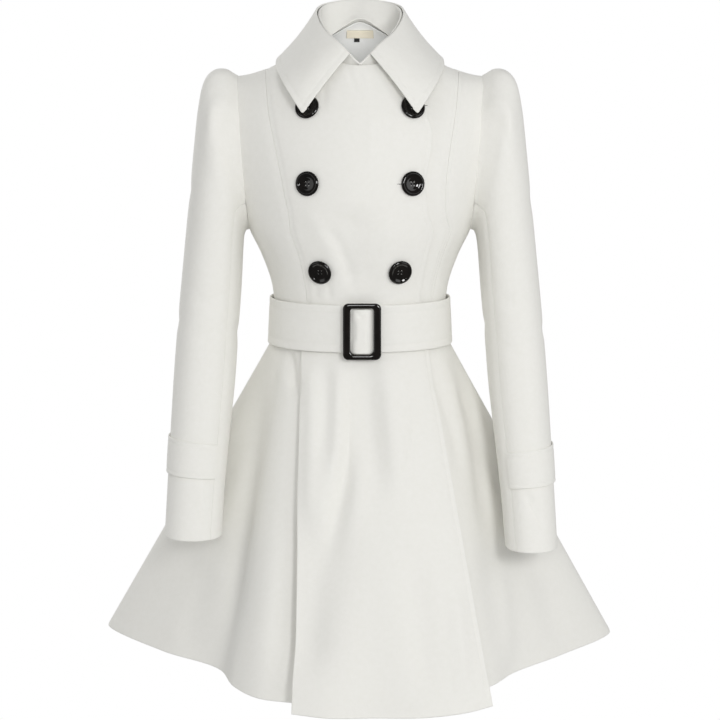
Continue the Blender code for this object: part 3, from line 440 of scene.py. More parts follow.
SKIRT_CREASES = placed_creases(
    front=(
        (((-0.098, -0.330), (-0.089, -0.355), (-0.080, -0.402)), 0.007, -0.0070),
        (((-0.112, -0.335), (-0.132, -0.435), (-0.144, -0.537), (-0.156, -0.618), (-0.167, -0.736)),
         0.014, -0.0065),
        (((-0.017, -0.338), (-0.011, -0.403), (-0.013, -0.458), (-0.024, -0.508), (-0.040, -0.590)),
         0.014, -0.0123),
        (((-0.044, -0.334), (-0.043, -0.398), (-0.048, -0.490)), 0.012, -0.0049),
        (((-0.066, -0.336), (-0.060, -0.423), (-0.065, -0.560)), 0.010, 0.0032),
        (((-0.028, -0.336), (-0.025, -0.422), (-0.035, -0.530)), 0.009, 0.0029),
        (((-0.034, -0.520), (-0.058, -0.633), (-0.076, -0.740)), 0.034, -0.0145),
        (((0.085, -0.338), (0.105, -0.402), (0.118, -0.443), (0.128, -0.510)), 0.007, -0.0029),
        (((0.136, -0.375), (0.150, -0.473), (0.162, -0.585)), 0.010, -0.0058),
        (((0.114, -0.342), (0.132, -0.387), (0.140, -0.430)), 0.008, -0.0029),
        (((0.068, -0.426), (0.055, -0.492)), 0.006, -0.0023),
        (((0.040, -0.338), (0.046, -0.420), (0.052, -0.520)), 0.014, 0.0035),
        (((0.115, -0.610), (0.124, -0.690), (0.128, -0.758)), 0.010, 0.0041),
        (((0.060, -0.560), (0.074, -0.660), (0.080, -0.755)), 0.018, -0.0043),
        (((0.176, -0.610), (0.183, -0.690), (0.188, -0.745)), 0.014, 0.0043),
        (((-0.199, -0.600), (-0.216, -0.680), (-0.226, -0.735)), 0.020, -0.0032),
        (((0.230, -0.600), (0.245, -0.670), (0.256, -0.730)), 0.018, -0.0029),
    ),
    back=(
        (((-0.010, -0.338), (-0.006, -0.450), (-0.014, -0.600)), 0.013, -0.0045),
        (((0.034, -0.336), (0.040, -0.430), (0.038, -0.560)), 0.011, 0.0028),
        (((-0.046, -0.338), (-0.058, -0.440), (-0.066, -0.590)), 0.012, 0.0026),
        (((0.066, -0.338), (0.084, -0.440), (0.104, -0.580)), 0.010, -0.0036),
        (((-0.078, -0.336), (-0.098, -0.430), (-0.112, -0.520)), 0.010, -0.0034),
        (((0.020, -0.540), (0.034, -0.640), (0.050, -0.735)), 0.017, -0.0030),
        (((-0.106, -0.560), (-0.122, -0.650), (-0.138, -0.745)), 0.016, 0.0030),
        (((0.150, -0.480), (0.178, -0.590), (0.200, -0.700)), 0.016, -0.0035),
    ),
    right=(
        (((-0.030, -0.360), (-0.052, -0.480), (-0.060, -0.640)), 0.014, -0.0034),
        (((0.034, -0.360), (0.062, -0.500), (0.072, -0.660)), 0.016, 0.0030),
    ),
    left=(
        (((-0.026, -0.360), (-0.050, -0.470), (-0.058, -0.600)), 0.013, -0.0030),
        (((0.038, -0.350), (0.058, -0.480), (0.076, -0.640)), 0.015, 0.0030),
    ),
)
SLEEVE_CREASES = placed_creases(
    front=(
        (((-0.1944, -0.490), (-0.1946, -0.562)), 0.005, -0.0014),
        (((0.2040, -0.508), (0.2166, -0.532), (0.2335, -0.560)), 0.005, -0.0018),
        (((-0.168, -0.262), (-0.192, -0.280), (-0.218, -0.276)), 0.009, -0.0013),
        (((-0.170, -0.306), (-0.198, -0.324), (-0.224, -0.316)), 0.010, -0.0012),
        (((0.170, -0.270), (0.195, -0.284), (0.222, -0.274)), 0.010, -0.0012),
        (((0.172, -0.330), (0.200, -0.346), (0.228, -0.336)), 0.009, -0.0012),
        (((-0.186, -0.020), (-0.184, -0.075), (-0.180, -0.130)), 0.010, 0.0014),
        (((0.186, -0.016), (0.185, -0.070), (0.181, -0.120)), 0.010, 0.0013),
    ),
    back=(
        (((-0.170, -0.250), (-0.196, -0.272), (-0.220, -0.290)), 0.009, -0.0022),
        (((-0.172, -0.300), (-0.198, -0.310), (-0.226, -0.330)), 0.009, -0.0020),
        (((0.172, -0.262), (0.198, -0.278), (0.224, -0.300)), 0.009, -0.0022),
        (((0.174, -0.316), (0.202, -0.330), (0.230, -0.352)), 0.010, -0.0018),
    ),
    right=(
        (((-0.050, -0.300), (-0.014, -0.318), (0.022, -0.306)), 0.009, -0.0016),
        (((-0.040, -0.120), (-0.006, -0.150), (0.028, -0.200)), 0.012, -0.0014),
    ),
    left=(
        (((-0.052, -0.312), (-0.016, -0.328), (0.020, -0.312)), 0.009, -0.0016),
        (((-0.036, -0.140), (0.000, -0.165), (0.032, -0.210)), 0.012, -0.0014),
    ),
)
COLLAR_CREASES = placed_creases(
    front=(
        (((-0.088, 0.004), (-0.076, 0.022), (-0.060, 0.040)), 0.010, -0.0007),
        (((0.090, 0.000), (0.078, 0.018), (0.062, 0.034)), 0.010, -0.0006),
    ),
    back=(
        (((-0.040, 0.040), (-0.034, 0.060), (-0.028, 0.082)), 0.009, -0.0007),
        (((0.036, 0.038), (0.030, 0.062), (0.026, 0.080)), 0.009, -0.0007),
    ),
)
BELT_CREASES = placed_creases(
    front=(
        (((-0.096, -0.300), (-0.070, -0.306), (-0.040, -0.300)), 0.006, -0.0007),
        (((0.034, -0.322), (0.062, -0.316), (0.094, -0.322)), 0.006, -0.0007),
    ),
    back=(
        (((-0.060, -0.312), (0.000, -0.304), (0.050, -0.314)), 0.007, -0.0008),
    ),
)
# Puckers of the cloth in the buckle's window, in the front view
WRAP_CREASES = placed_creases(
    front=(
        (((-0.012, -0.284), (-0.004, -0.289), (0.004, -0.300)), 0.0022, -0.0010),
        (((0.010, -0.283), (0.006, -0.290), (-0.003, -0.297)), 0.0020, -0.0009),
        (((-0.009, -0.296), (-0.007, -0.312), (-0.009, -0.330)), 0.0030, -0.0010),
        (((0.004, -0.302), (0.007, -0.318), (0.005, -0.336)), 0.0040, 0.0008),
    ),
)

# Edges of the cut pieces: sewn into a seam or left free, and how far inside it a row of stitches runs
Edge = namedtuple("Edge", "kind stitch")
SEAM = Edge("seam", None)
SEWN = Edge("seam", 0.0050)
JOINED = Edge("joined", None)
FREE = Edge("free", None)
TURNED = Edge("free", 0.0075)
BELTED = Edge("free", 0.0100)
STRAPPED = Edge("free", 0.0055)
EDGE_NAMES = ("left", "right", "bottom", "top")
SEAM_RIM = 0.0003
SEAM_DIP = 0.0010
SEAM_REACH = 0.0055
STITCH_DIP = 0.0004
STITCH_REACH = 0.0016
# Part beside each side edge in which the grid's columns keep their distance from the edge
KEPT_MARGIN = 0.0115
LARGEST_MARGIN_SHARE = 0.4
# Places of grid lines beside a rim and a row of stitches, in rims and in reaches of a stitch
RIM_PLACES = np.array((0.13, 0.45, 1.0, 2.2))
STITCH_PLACES = np.array((-1.5, -0.6, 0.0, 0.6, 1.5))
# An even grid line closer than this share of a step to one of those is left out
CROWDED_SHARE = 0.4
ROUGH_COLUMNS = 161
STITCH_LINE_STEP = 0.003
STITCH_SIDES = 6
STITCH_RINGS = 5
# How squarely cloth faces the view where a crease is whole, and the share of its line in which an end fades
CREASE_FACING = 0.5
CREASE_FADE = 0.3
# Steps and rounds of the searches on the bodice's surface
SLOPE_STEP = 1e-3
SEARCH_STEP = 1e-4
SEARCH_ROUNDS = 25
TINY = 1e-12

# Grain of the finishes: scale, detail and roughness of the noise
WOOL_CLUMPS = (160.0, 3.0, 0.6)
WOOL_FIBRES = (1100.0, 4.0, 0.7)
THREAD_GRAIN = (2600.0, 1.0, 0.5)
SATIN_GRAIN = (1500.0, 2.0, 0.5)
LABEL_GRAIN = (1800.0, 2.0, 0.5)
RESIN_MARBLING = (90.0, 4.0, 0.6)
FINE_GRAIN_DEPTH = 0.0002
LABEL_SHADE = 0.86
BLEND_START = 0.3
BLEND_END = 0.7

# Camera of the photograph
CAMERA_DISTANCE = 3.25
CAMERA_ELEVATION_DEG = 8.0
CAMERA_AIM_Z = -0.365
CAMERA_LENS_MM = 125.0
CAMERA_SENSOR_MM = 36.0

# Studio: the floor far below the hem, the soft surround and the lamps
FLOOR_Z = -1.40
FLOOR_HALF_SIZE = 40.0
WORLD_LIGHT = 0.50
FLOOR_LIGHT = 0.50
MIRRORED_LIGHT = 0.10
COAT_MIDDLE = (0.0, 0.0, -0.30)
LIGHTS = table(
    "name place aim power size spread_deg",
    ("main", (1.1, -2.9, 0.5), COAT_MIDDLE, 27.0, 0.8, 180.0),
    ("front", (-0.1, -3.1, 0.3), COAT_MIDDLE, 9.0, 0.5, 180.0),
    ("side_of_left_sleeve", (2.6, -1.8, 0.3), COAT_MIDDLE, 11.0, 1.8, 180.0),
    ("side_of_right_sleeve", (-2.6, -1.8, 0.1), COAT_MIDDLE, 7.0, 1.8, 180.0),
    ("back", (-1.7, 2.5, 0.9), COAT_MIDDLE, 32.0, 1.6, 180.0),
    ("neck", (0.0, -0.03, 0.01), (0.0, 0.085, 0.055), 0.0085, 0.04, 70.0),
)


# Curves and surfaces


def unit(vectors):
    """Vectors brought to a length of 1."""
    return vectors / np.maximum(TINY, np.linalg.norm(vectors, axis=-1, keepdims=True))


def ease(share):
    """A smooth step from 0 to 1."""
    share = np.clip(share, 0.0, 1.0)
    return share * share * (3.0 - 2.0 * share)


def bump(distance, reach):
    """A smooth rise of 1 that ends at the given reach."""
    return 0.5 + 0.5 * np.cos(np.pi * np.minimum(1.0, np.abs(distance) / reach))


def through(knots, values, at):
    """A smooth curve through values at rising knots."""
    knots, values, at = (np.asarray(item, float) for item in (knots, values, at))
    slopes = np.gradient(values, knots, axis=0)
    k = np.clip(np.searchsorted(knots, at) - 1, 0, len(knots) - 2)
    span = knots[k + 1] - knots[k]
    u = (at - knots[k]) / span
    if values.ndim > 1:
        u, span = u[..., None], span[..., None]
    return (
        values[k] * (1 + 2 * u) * (1 - u) ** 2
        + slopes[k] * span * u * (1 - u) ** 2
        + values[k + 1] * u * u * (3 - 2 * u)
        + slopes[k + 1] * span * u * u * (u - 1)
    )


def seam_share(seam, height):
    return through([p.height for p in seam], [p.share for p in seam], height)


def armhole_point(degrees):
    """A point of the left armhole: 0 is the shoulder, 90 the front and 180 the armpit."""
    turn = math.radians(degrees)
    return np.array((
        ARMHOLE_X + ARMHOLE_LEAN * math.cos(turn),
        ARMHOLE_Y - ARMHOLE_HALF_DEPTH * math.sin(turn),
        ARMHOLE_Z + ARMHOLE_HALF_HEIGHT * math.cos(turn),
    ))


def section_table(sections, facing):
    """The sections as rows of centre z, centre y, edge x, y and z, arc and slope power."""
    rows = []
    for section in sections:
        if section.armhole_deg is None:
            edge = np.array((section.half_width, ARMHOLE_Y, section.z_centre))
        else:
            edge = armhole_point(section.armhole_deg)
        centre_y = facing * section.depth
        rows.append((section.z_centre, centre_y, *edge, section.arc_deg, section.slope_power))
    return np.array(rows)


SECTION_TABLES = {face: section_table(rows, facing) for face, (rows, facing) in FACES.items()}


def bodice_surface(face, share, height):
    """Points of the bodice's outer surface. Share runs from -1, the right edge, to 1, the left edge."""
    sections = SECTION_TABLES[face]
    share, height = np.broadcast_arrays(np.asarray(share, float), np.asarray(height, float))
    rows = through(np.linspace(0.0, 1.0, len(sections)), sections, height)
    z_in, y_in, x_out, y_out, z_out, arc_deg, power = np.moveaxis(rows, -1, 0)
    below = height < ARMPIT_HEIGHT
    y_out = np.where(below, ARMHOLE_Y, y_out)
    arc = np.radians(np.where(below, 90.0, arc_deg))
    across = np.abs(share)
    turn = across * arc
    wide = np.sin(turn) / np.sin(arc)
    deep = (1.0 - np.cos(turn)) / (1.0 - np.cos(arc))
    fullness = SIDE_FULLNESS + (1.0 - SIDE_FULLNESS) * ease(height / PLAIN_SIDE_HEIGHT)
    x = x_out * wide**fullness
    y = y_in + (y_out - y_in) * (1.0 - np.maximum(0.0, 1.0 - deep) ** fullness)
    flat = np.hypot(across, CENTRE_FLAT) - CENTRE_FLAT
    flat = flat / (math.hypot(1.0, CENTRE_FLAT) - CENTRE_FLAT)
    z = z_in + (z_out - z_in) * (1.0 - np.maximum(0.0, 1.0 - flat) ** power)
    return np.stack((np.copysign(x, share), y, z), -1)


def bodice_normal(face, share, height):
    low, high = np.maximum(0.0, height - SLOPE_STEP), np.minimum(1.0, height + SLOPE_STEP)
    along = bodice_surface(face, share, high) - bodice_surface(face, share, low)
    left, right = np.minimum(1.0, share + SLOPE_STEP), np.maximum(-1.0, share - SLOPE_STEP)
    across = bodice_surface(face, left, height) - bodice_surface(face, right, height)
    normal = unit(np.cross(across, along))
    return normal if face == "front" else -normal


def bodice_point(face, share, height, out=0.0):
    out = np.asarray(out, float)[..., None]
    return bodice_surface(face, share, height) + out * bodice_normal(face, share, height)


def neck_height(face, share):
    """The share of the height at which a piece of the bodice ends, at the neckline or the shoulder."""
    lowest = NECK_FRONT_HEIGHT if face == "front" else NECK_BACK_HEIGHT
    across = np.minimum(1.0, np.abs(share) / NECK_SIDE_SHARE)
    return 1.0 - (1.0 - lowest) * np.sqrt(1.0 - across * across)


def across_gap(face, height):
    """Half the seam gap as a share of the half section."""
    wide = bodice_surface(face, 1.0, height) - bodice_surface(face, 0.0, height)
    return 0.5 * SEAM_GAP / np.linalg.norm(wide, axis=-1)


def shoulder_height(height):
    """Height with the shoulder seam's half gap taken off at the top."""
    return height * (1.0 - 0.5 * SHOULDER_SEAM_GAP / SHOULDER_SPAN)


def share_at(face, x, z, start):
    """The share and height of the bodice's surface at places in front view."""
    x, z = np.broadcast_arrays(np.asarray(x, float), np.asarray(z, float))
    share, height = np.full(x.shape, start[0]), np.full(x.shape, start[1])
    for _ in range(SEARCH_ROUNDS):
        here = bodice_surface(face, share, height)
        by_share = (bodice_surface(face, share + SEARCH_STEP, height) - here) / SEARCH_STEP
        by_height = (bodice_surface(face, share, height + SEARCH_STEP) - here) / SEARCH_STEP
        dx, dz = x - here[..., 0], z - here[..., 2]
        det = by_share[..., 0] * by_height[..., 2] - by_height[..., 0] * by_share[..., 2]
        share = share + (dx * by_height[..., 2] - by_height[..., 0] * dz) / det
        height = height + (by_share[..., 0] * dz - dx * by_share[..., 2]) / det
    return share, height


# Cloth grids


def sizes():
    return bpy.context.scene.coat_sizes


def colours():
    return bpy.context.scene.coat_colours


def rim_samples(length, step, edges, rims):
    """Rising places on a length: close together at both rims and stitch rows, evenly spaced between."""
    crowded = [0.0]
    mirrored = [length]
    for places, edge, rim in zip((crowded, mirrored), edges, rims):
        close = list(rim * RIM_PLACES)
        if edge.stitch:
            close += list(edge.stitch + STITCH_REACH * STITCH_PLACES)
        places += close if places is crowded else [length - place for place in close]
    taken = np.array(crowded + mirrored)
    even = np.linspace(0.0, length, max(3, int(round(length / step))) + 1)
    even = [place for place in even if np.abs(taken - place).min() > CROWDED_SHARE * step]
    return np.unique(np.concatenate((taken, even)))


def kept_to_edges(places, widest, total):
    """Places on the widest row moved to a narrower row, with their distances kept beside both edges."""
    margin = min(KEPT_MARGIN, LARGEST_MARGIN_SHARE * widest)
    narrow = min(margin, LARGEST_MARGIN_SHARE * total)
    knots = (0.0, margin, widest - margin, widest)
    return np.interp(places, knots, (0.0, narrow, total - narrow, total))


def even_grid(point, length, step, edges, rims):
    """Points of a surface on a grid that is evenly spaced, and closer at its rims and stitch rows."""
    v = rim_samples(length, step, edges[2:], rims[2:]) / length
    rough_u = np.linspace(0.0, 1.0, ROUGH_COLUMNS)
    across, _ = along_lines(point(*np.meshgrid(rough_u, v)))
    widest = across[:, -1].max()
    places = rim_samples(widest, step, edges[:2], rims[:2])
    u = [np.interp(kept_to_edges(places, widest, row[-1]), row, rough_u) for row in across]
    return point(np.array(u), np.repeat(v[:, None], len(places), axis=1))


def grid_normals(points, outward):
    across = np.gradient(points, axis=1)
    along = np.gradient(points, axis=0)
    return outward * unit(np.cross(across, along))


def along_lines(points):
    """Lengths from the first column and from the first row to each point of a grid."""
    columns = np.linalg.norm(np.diff(points, axis=1), axis=2)
    rows = np.linalg.norm(np.diff(points, axis=0), axis=2)
    across = np.concatenate((np.zeros((len(points), 1)), np.cumsum(columns, axis=1)), axis=1)
    along = np.concatenate((np.zeros((1, points.shape[1])), np.cumsum(rows, axis=0)), axis=0)
    return across, along


def run_lengths(line):
    """Lengths along a line of points, from its start to each point."""
    steps = np.linalg.norm(np.diff(line, axis=0), axis=1)
    return np.concatenate(([0.0], np.cumsum(steps)))


def from_line(places, line):
    """Distance to a line of points in a plane, and share of the way along the line."""
    line = np.asarray(line, float)
    passed = run_lengths(line)
    nearest = np.full(places.shape[:-1], np.inf)
    way = np.zeros(places.shape[:-1])
    for start, end, length, done in zip(line, line[1:], np.diff(passed), passed):
        run = np.clip((places - start) @ (end - start) / length**2, 0.0, 1.0)
        distance = np.linalg.norm(places - start - run[..., None] * (end - start), axis=-1)
        closer = distance < nearest
        nearest = np.where(closer, distance, nearest)
        way = np.where(closer, (done + run * length) / passed[-1], way)
    return nearest, way


def crease_rise(points, normals, creases):
    """How far soft troughs and ridges move each point of a grid outwards."""
    rise = np.zeros(points.shape[:-1])
    for crease in creases:
        facing, axis = VIEWS[crease.view]
        towards = ease((normals @ np.array(facing)) / CREASE_FACING)
        distance, way = from_line(points[..., (axis, 2)], crease.line)
        ends = ease(way / CREASE_FADE) * ease((1.0 - way) / CREASE_FADE)
        rise += crease.rise * towards * ends * np.exp(-((distance / crease.half_width) ** 2))
    return rise * sizes().crease_strength


def edge_distances(points):
    """Distance of each point of a grid from its left, right, bottom and top edges."""
    across, along = along_lines(points)
    return across, across[:, -1:] - across, along, along[-1:] - along


def seam_dips(points, edges):
    """How far the cloth sinks along seams and rows of stitches."""
    dip = np.zeros(points.shape[:-1])
    for distance, edge in zip(edge_distances(points), edges):
        if edge.kind == "seam":
            dip += SEAM_DIP * np.exp(-((distance / SEAM_REACH) ** 2))
        if edge.stitch:
            dip += STITCH_DIP * np.exp(-(((distance - edge.stitch) / STITCH_REACH) ** 2))
    return dip


def cloth_mesh(name, points, wall, outward, rims):
    """A closed wall of cloth with rounded rims, from the grid of its outer face."""
    normals = grid_normals(points, outward)
    inside = np.zeros(points.shape[:-1])
    for distance, rim in zip(edge_distances(points), rims):
        inside = np.maximum(inside, np.clip(1.0 - distance / rim, 0.0, 1.0))
    sink = (0.5 * wall * (1.0 - np.sqrt(1.0 - inside**2)))[..., None]
    outer = points - normals * sink
    inner = points - normals * (wall - sink)
    rows, columns = points.shape[:2]
    outer_index = np.arange(rows * columns).reshape(rows, columns)
    inner_index = outer_index.copy()
    inner_count = (rows - 2) * (columns - 2)
    inner_index[1:-1, 1:-1] = rows * columns + np.arange(inner_count).reshape(rows - 2, columns - 2)
    verts = np.concatenate((outer.reshape(-1, 3), inner[1:-1, 1:-1].reshape(-1, 3)))

    def faces(index):
        corners = (index[:-1, :-1], index[:-1, 1:], index[1:, 1:], index[1:, :-1])
        return np.stack(corners, -1).reshape(-1, 4)

    front, back = faces(outer_index), faces(inner_index)
    if outward > 0:
        back = back[:, ::-1]
    else:
        front = front[:, ::-1]
    mesh = bpy.data.meshes.new(name)
    mesh.from_pydata(verts.tolist(), [], np.concatenate((front, back)).tolist())
    mesh.validate()
    mesh.shade_smooth()
    return mesh


def put_in_scene(name, data):
    made = bpy.data.objects.new(name, data)
    bpy.context.scene.collection.objects.link(made)
    return made


def mesh_from(bm, name):
    mesh = bpy.data.meshes.new(name)
    bm.to_mesh(mesh)
    bm.free()
    return mesh


def add_piece(name, mesh, material, node=None):
    """Puts a mesh in the scene as a piece that rides with the coat."""
    made = put_in_scene(name, mesh)
    if not mesh.materials:
        mesh.materials.append(material)
    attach(made, "root")
    if node:
        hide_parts(node)
    return made


def cloth_piece(node, point, length, wall, material, edges,
                facing_in=False, creases=(), step=None):
    """One cut piece of cloth on a surface, at the size that it was cut to."""
    outward = -1.0 if facing_in else 1.0
    rims = [0.5 * wall if edge.kind == "free" else SEAM_RIM for edge in edges]
    points = even_grid(point, length, step or sizes().cloth_step, edges, rims)
    normals = grid_normals(points, outward)
    rise = crease_rise(points, normals, creases) - seam_dips(points, edges)
    points = points + normals * rise[..., None]
    name = f"cloth_{node}"
    made = add_piece(name, cloth_mesh(name, points, wall, outward, rims), material, node)
    across, along = along_lines(points)
    stitched = [(name, edge.stitch) for name, edge in zip(EDGE_NAMES, edges) if edge.stitch]
    return [inset_line(points, *row) for row in stitched]


def inset_line(points, edge, inset):
    """The line on a grid at a distance inside one of its edges, short of the corners."""
    grid = points if edge in ("left", "right") else points.transpose(1, 0, 2)
    grid = grid if edge in ("left", "bottom") else grid[:, ::-1]
    line = []
    for row in grid:
        passed = run_lengths(row)
        line.append([np.interp(inset, passed, row[:, axis]) for axis in range(3)])
    line = np.array(line)
    passed = run_lengths(line)
    inner = np.linspace(inset, passed[-1] - inset, max(2, int(passed[-1] / STITCH_LINE_STEP)))
    return np.stack([np.interp(inner, passed, line[:, axis]) for axis in range(3)], -1)


# Rows of stitches


def stitch_tree():
    """Nodes that lay one stitch after another along lines of edges."""
    made = bpy.data.node_groups.get("stitch_rows")
    if made:
        return made
    tree = bpy.data.node_groups.new("stitch_rows", "GeometryNodeTree")
    tree.interface.new_socket("Lines", in_out="INPUT", socket_type="NodeSocketGeometry")
    for name in ("Pitch", "Half Length", "Thread Radius"):
        tree.interface.new_socket(name, in_out="INPUT", socket_type="NodeSocketFloat").subtype = "DISTANCE"
    tree.interface.new_socket("Thread", in_out="INPUT", socket_type="NodeSocketMaterial")
    tree.interface.new_socket("Stitches", in_out="OUTPUT", socket_type="NodeSocketGeometry")
    given, result, curve, spaced, tangent, turn, scale, stitch, placed, real, smooth, coloured = (
        tree.nodes.new(kind) for kind in (
            "NodeGroupInput", "NodeGroupOutput", "GeometryNodeMeshToCurve", "GeometryNodeResampleCurve",
            "GeometryNodeInputTangent", "FunctionNodeAlignRotationToVector", "ShaderNodeCombineXYZ",
            "GeometryNodeMeshUVSphere", "GeometryNodeInstanceOnPoints", "GeometryNodeRealizeInstances",
            "GeometryNodeSetShadeSmooth", "GeometryNodeSetMaterial",
        )
    )
    spaced.mode = "LENGTH"
    turn.axis = "Z"
    stitch.inputs["Segments"].default_value = STITCH_SIDES
    stitch.inputs["Rings"].default_value = STITCH_RINGS
    for start, end in (
        (given.outputs["Lines"], curve.inputs["Mesh"]),
        (curve.outputs["Curve"], spaced.inputs["Curve"]),
        (given.outputs["Pitch"], spaced.inputs["Length"]),
        (spaced.outputs["Curve"], placed.inputs["Points"]),
        (stitch.outputs["Mesh"], placed.inputs["Instance"]),
        (tangent.outputs["Tangent"], turn.inputs["Vector"]),
        (turn.outputs["Rotation"], placed.inputs["Rotation"]),
        (given.outputs["Thread Radius"], scale.inputs["X"]),
        (given.outputs["Thread Radius"], scale.inputs["Y"]),
        (given.outputs["Half Length"], scale.inputs["Z"]),
        (scale.outputs["Vector"], placed.inputs["Scale"]),
        (placed.outputs["Instances"], real.inputs["Geometry"]),
        (real.outputs["Geometry"], smooth.inputs["Geometry"]),
        (smooth.outputs["Geometry"], coloured.inputs["Geometry"]),
        (given.outputs["Thread"], coloured.inputs["Material"]),
        (coloured.outputs["Geometry"], result.inputs["Stitches"]),
    ):
        tree.links.new(start, end)
    return tree


def stitch_piece(name, lines):
    """All rows of stitches of one group of pieces as a single mesh."""
    verts, edges = [], []
    for line in lines:
        edges += [(len(verts) + k, len(verts) + k + 1) for k in range(len(line) - 1)]
        verts += line.tolist()
    mesh = bpy.data.meshes.new(f"{name}_lines")
    mesh.from_pydata(verts, edges, [])
    laid = put_in_scene(f"{name}_lines", mesh)
    rows = laid.modifiers.new("stitches", "NODES")
    rows.node_group = stitch_tree()
    inputs = {item.name: item.identifier for item in rows.node_group.interface.items_tree}
    rows[inputs["Pitch"]] = sizes().stitch_pitch
    rows[inputs["Half Length"]] = 0.5 * sizes().stitch_length
    rows[inputs["Thread Radius"]] = 0.5 * sizes().thread_width
    rows[inputs["Thread"]] = thread_material()
    bpy.context.view_layer.update()
    plain = bpy.data.meshes.new_from_object(laid.evaluated_get(bpy.context.evaluated_depsgraph_get()))
    bpy.data.objects.remove(laid)
    bpy.data.meshes.remove(mesh)
    plain.name = name
    add_piece(name, plain, thread_material())


# Materials


def new_material(name, colour, roughness):
    material = bpy.data.materials.new(name)
    material.use_nodes = True
    shader = material.node_tree.nodes["Principled BSDF"]
    shader.inputs["Base Color"].default_value = (*colour, 1.0)
    shader.inputs["Roughness"].default_value = roughness
    return material, material.node_tree, shader


def noise_node(tree, coordinates, scale, detail, roughness):
    noise = tree.nodes.new("ShaderNodeTexNoise")
    noise.inputs["Scale"].default_value = scale
    noise.inputs["Detail"].default_value = detail
    noise.inputs["Roughness"].default_value = roughness
    tree.links.new(coordinates, noise.inputs["Vector"])
    return noise.outputs["Fac"]


def colour_blend(tree, share, first, second):
    ramp = tree.nodes.new("ShaderNodeValToRGB")
    ramp.color_ramp.elements[0].position = BLEND_START
    ramp.color_ramp.elements[0].color = (*first, 1.0)
    ramp.color_ramp.elements[1].position = BLEND_END
    ramp.color_ramp.elements[1].color = (*second, 1.0)
    tree.links.new(share, ramp.inputs["Fac"])
    return ramp.outputs["Color"]


def bump_node(tree, height, strength, distance, under=None):
    node = tree.nodes.new("ShaderNodeBump")
    node.inputs["Strength"].default_value = strength
    node.inputs["Distance"].default_value = distance
    tree.links.new(height, node.inputs["Height"])
    if under is not None:
        tree.links.new(under, node.inputs["Normal"])
    return node.outputs["Normal"]


def wool_material():
    """Matt felted wool: short fibres, soft clumps and a faint change of tone."""
    made = bpy.data.materials.get("felted_wool")
    if made:
        return made
    made, tree, shader = new_material("felted_wool", colours().wool, roughness=0.92)
    place = tree.nodes.new("ShaderNodeTexCoord").outputs["Object"]
    clumps = noise_node(tree, place, *WOOL_CLUMPS)
    fibres = noise_node(tree, place, *WOOL_FIBRES)
    tone = colour_blend(tree, clumps, colours().wool_shade, colours().wool)
    tree.links.new(tone, shader.inputs["Base Color"])
    soft = bump_node(tree, clumps, strength=0.15, distance=0.0009)
    fine = bump_node(tree, fibres, strength=0.45, distance=0.0004, under=soft)
    tree.links.new(fine, shader.inputs["Normal"])
    shader.inputs["Specular IOR Level"].default_value = 0.2
    shader.inputs["Sheen Weight"].default_value = 0.15
    shader.inputs["Sheen Roughness"].default_value = 0.6
    return made


def woven_material(name, tone, shade, roughness, grain, strength):
    """Cloth or thread with a fine raised grain, darker in the shade's tone where one is given."""
    made = bpy.data.materials.get(name)
    if made:
        return made
    made, tree, shader = new_material(name, tone, roughness)
    place = tree.nodes.new("ShaderNodeTexCoord").outputs["Object"]
    threads = noise_node(tree, place, *grain)
    tree.links.new(bump_node(tree, threads, strength, FINE_GRAIN_DEPTH), shader.inputs["Normal"])
    if shade is not None:
        tree.links.new(colour_blend(tree, threads, shade, tone), shader.inputs["Base Color"])
    return made


def thread_material():
    """Twisted sewing thread in the tone of the wool."""
    tones = colours().wool, colours().wool_shade
    return woven_material("sewing_thread", *tones, roughness=0.65, grain=THREAD_GRAIN, strength=0.3)


# Dark thread for the buttons, also laid in the buttonhole slits as painted shade
def slit_shade_and_button_thread_material():
    tone = colours().tab_thread_and_slit_shade
    return woven_material("slit_shade_and_button_thread", tone, None, roughness=0.7, grain=THREAD_GRAIN, strength=0.3)


def lining_material():
    tones = colours().lining, colours().lining_shade
    return woven_material("satin_lining", *tones, roughness=0.38, grain=SATIN_GRAIN, strength=0.2)


def label_material(name, colour):
    shade = [LABEL_SHADE * part for part in colour]
    return woven_material(name, colour, shade, roughness=0.7, grain=LABEL_GRAIN, strength=0.4)


def resin_material():
    """Dark glossy resin with a faint marbling."""
    made = bpy.data.materials.get("dark_resin")
    if made:
        return made
    made, tree, shader = new_material("dark_resin", colours().resin, roughness=0.06)
    place = tree.nodes.new("ShaderNodeTexCoord").outputs["Object"]
    marbling = noise_node(tree, place, *RESIN_MARBLING)
    tone = colour_blend(tree, marbling, colours().resin, colours().resin_light)
    tree.links.new(tone, shader.inputs["Base Color"])
    shader.inputs["Specular IOR Level"].default_value = 0.6
    return made


# Bodice


def underlap_drop(share, height):
    lap, seam = seam_share(LAP_EDGE, height), seam_share(PRINCESS_LEFT, height)
    deep = LAP_DROP + NECK_DROP * ease((height - DEEP_LAP_HEIGHT) / DEEP_LAP_REACH)
    return deep * (1.0 - ease((share - lap - LAP_MARGIN) / (seam - lap - LAP_MARGIN)))


def bodice_panel(face, start, end, drop=None, cut_neck=False):
    """Points of a bodice panel between two seams, each a function of height that gives a share."""

    def point(u, v):
        top = np.full_like(u, NECK_FRONT_HEIGHT if cut_neck else 1.0)
        for _ in range(NECK_ROUNDS if cut_neck else 0):
            edge = neck_height(face, start(top) + (end(top) - start(top)) * u)
            edge = edge - NECK_TRIM * (1.0 - edge) / (1.0 - NECK_FRONT_HEIGHT)
            top = 0.5 * (top + edge)
        height = shoulder_height(top * v)
        gap = across_gap(face, height)
        low, high = start(height) + gap, end(height) - gap
        share = low + (high - low) * u
        out = -drop(share, height) if drop else 0.0
        return bodice_point(face, share, height, out)

    return point


def side_edge(sign):
    return lambda height: np.full_like(height, sign * (1.0 - SIDE_TRIM))


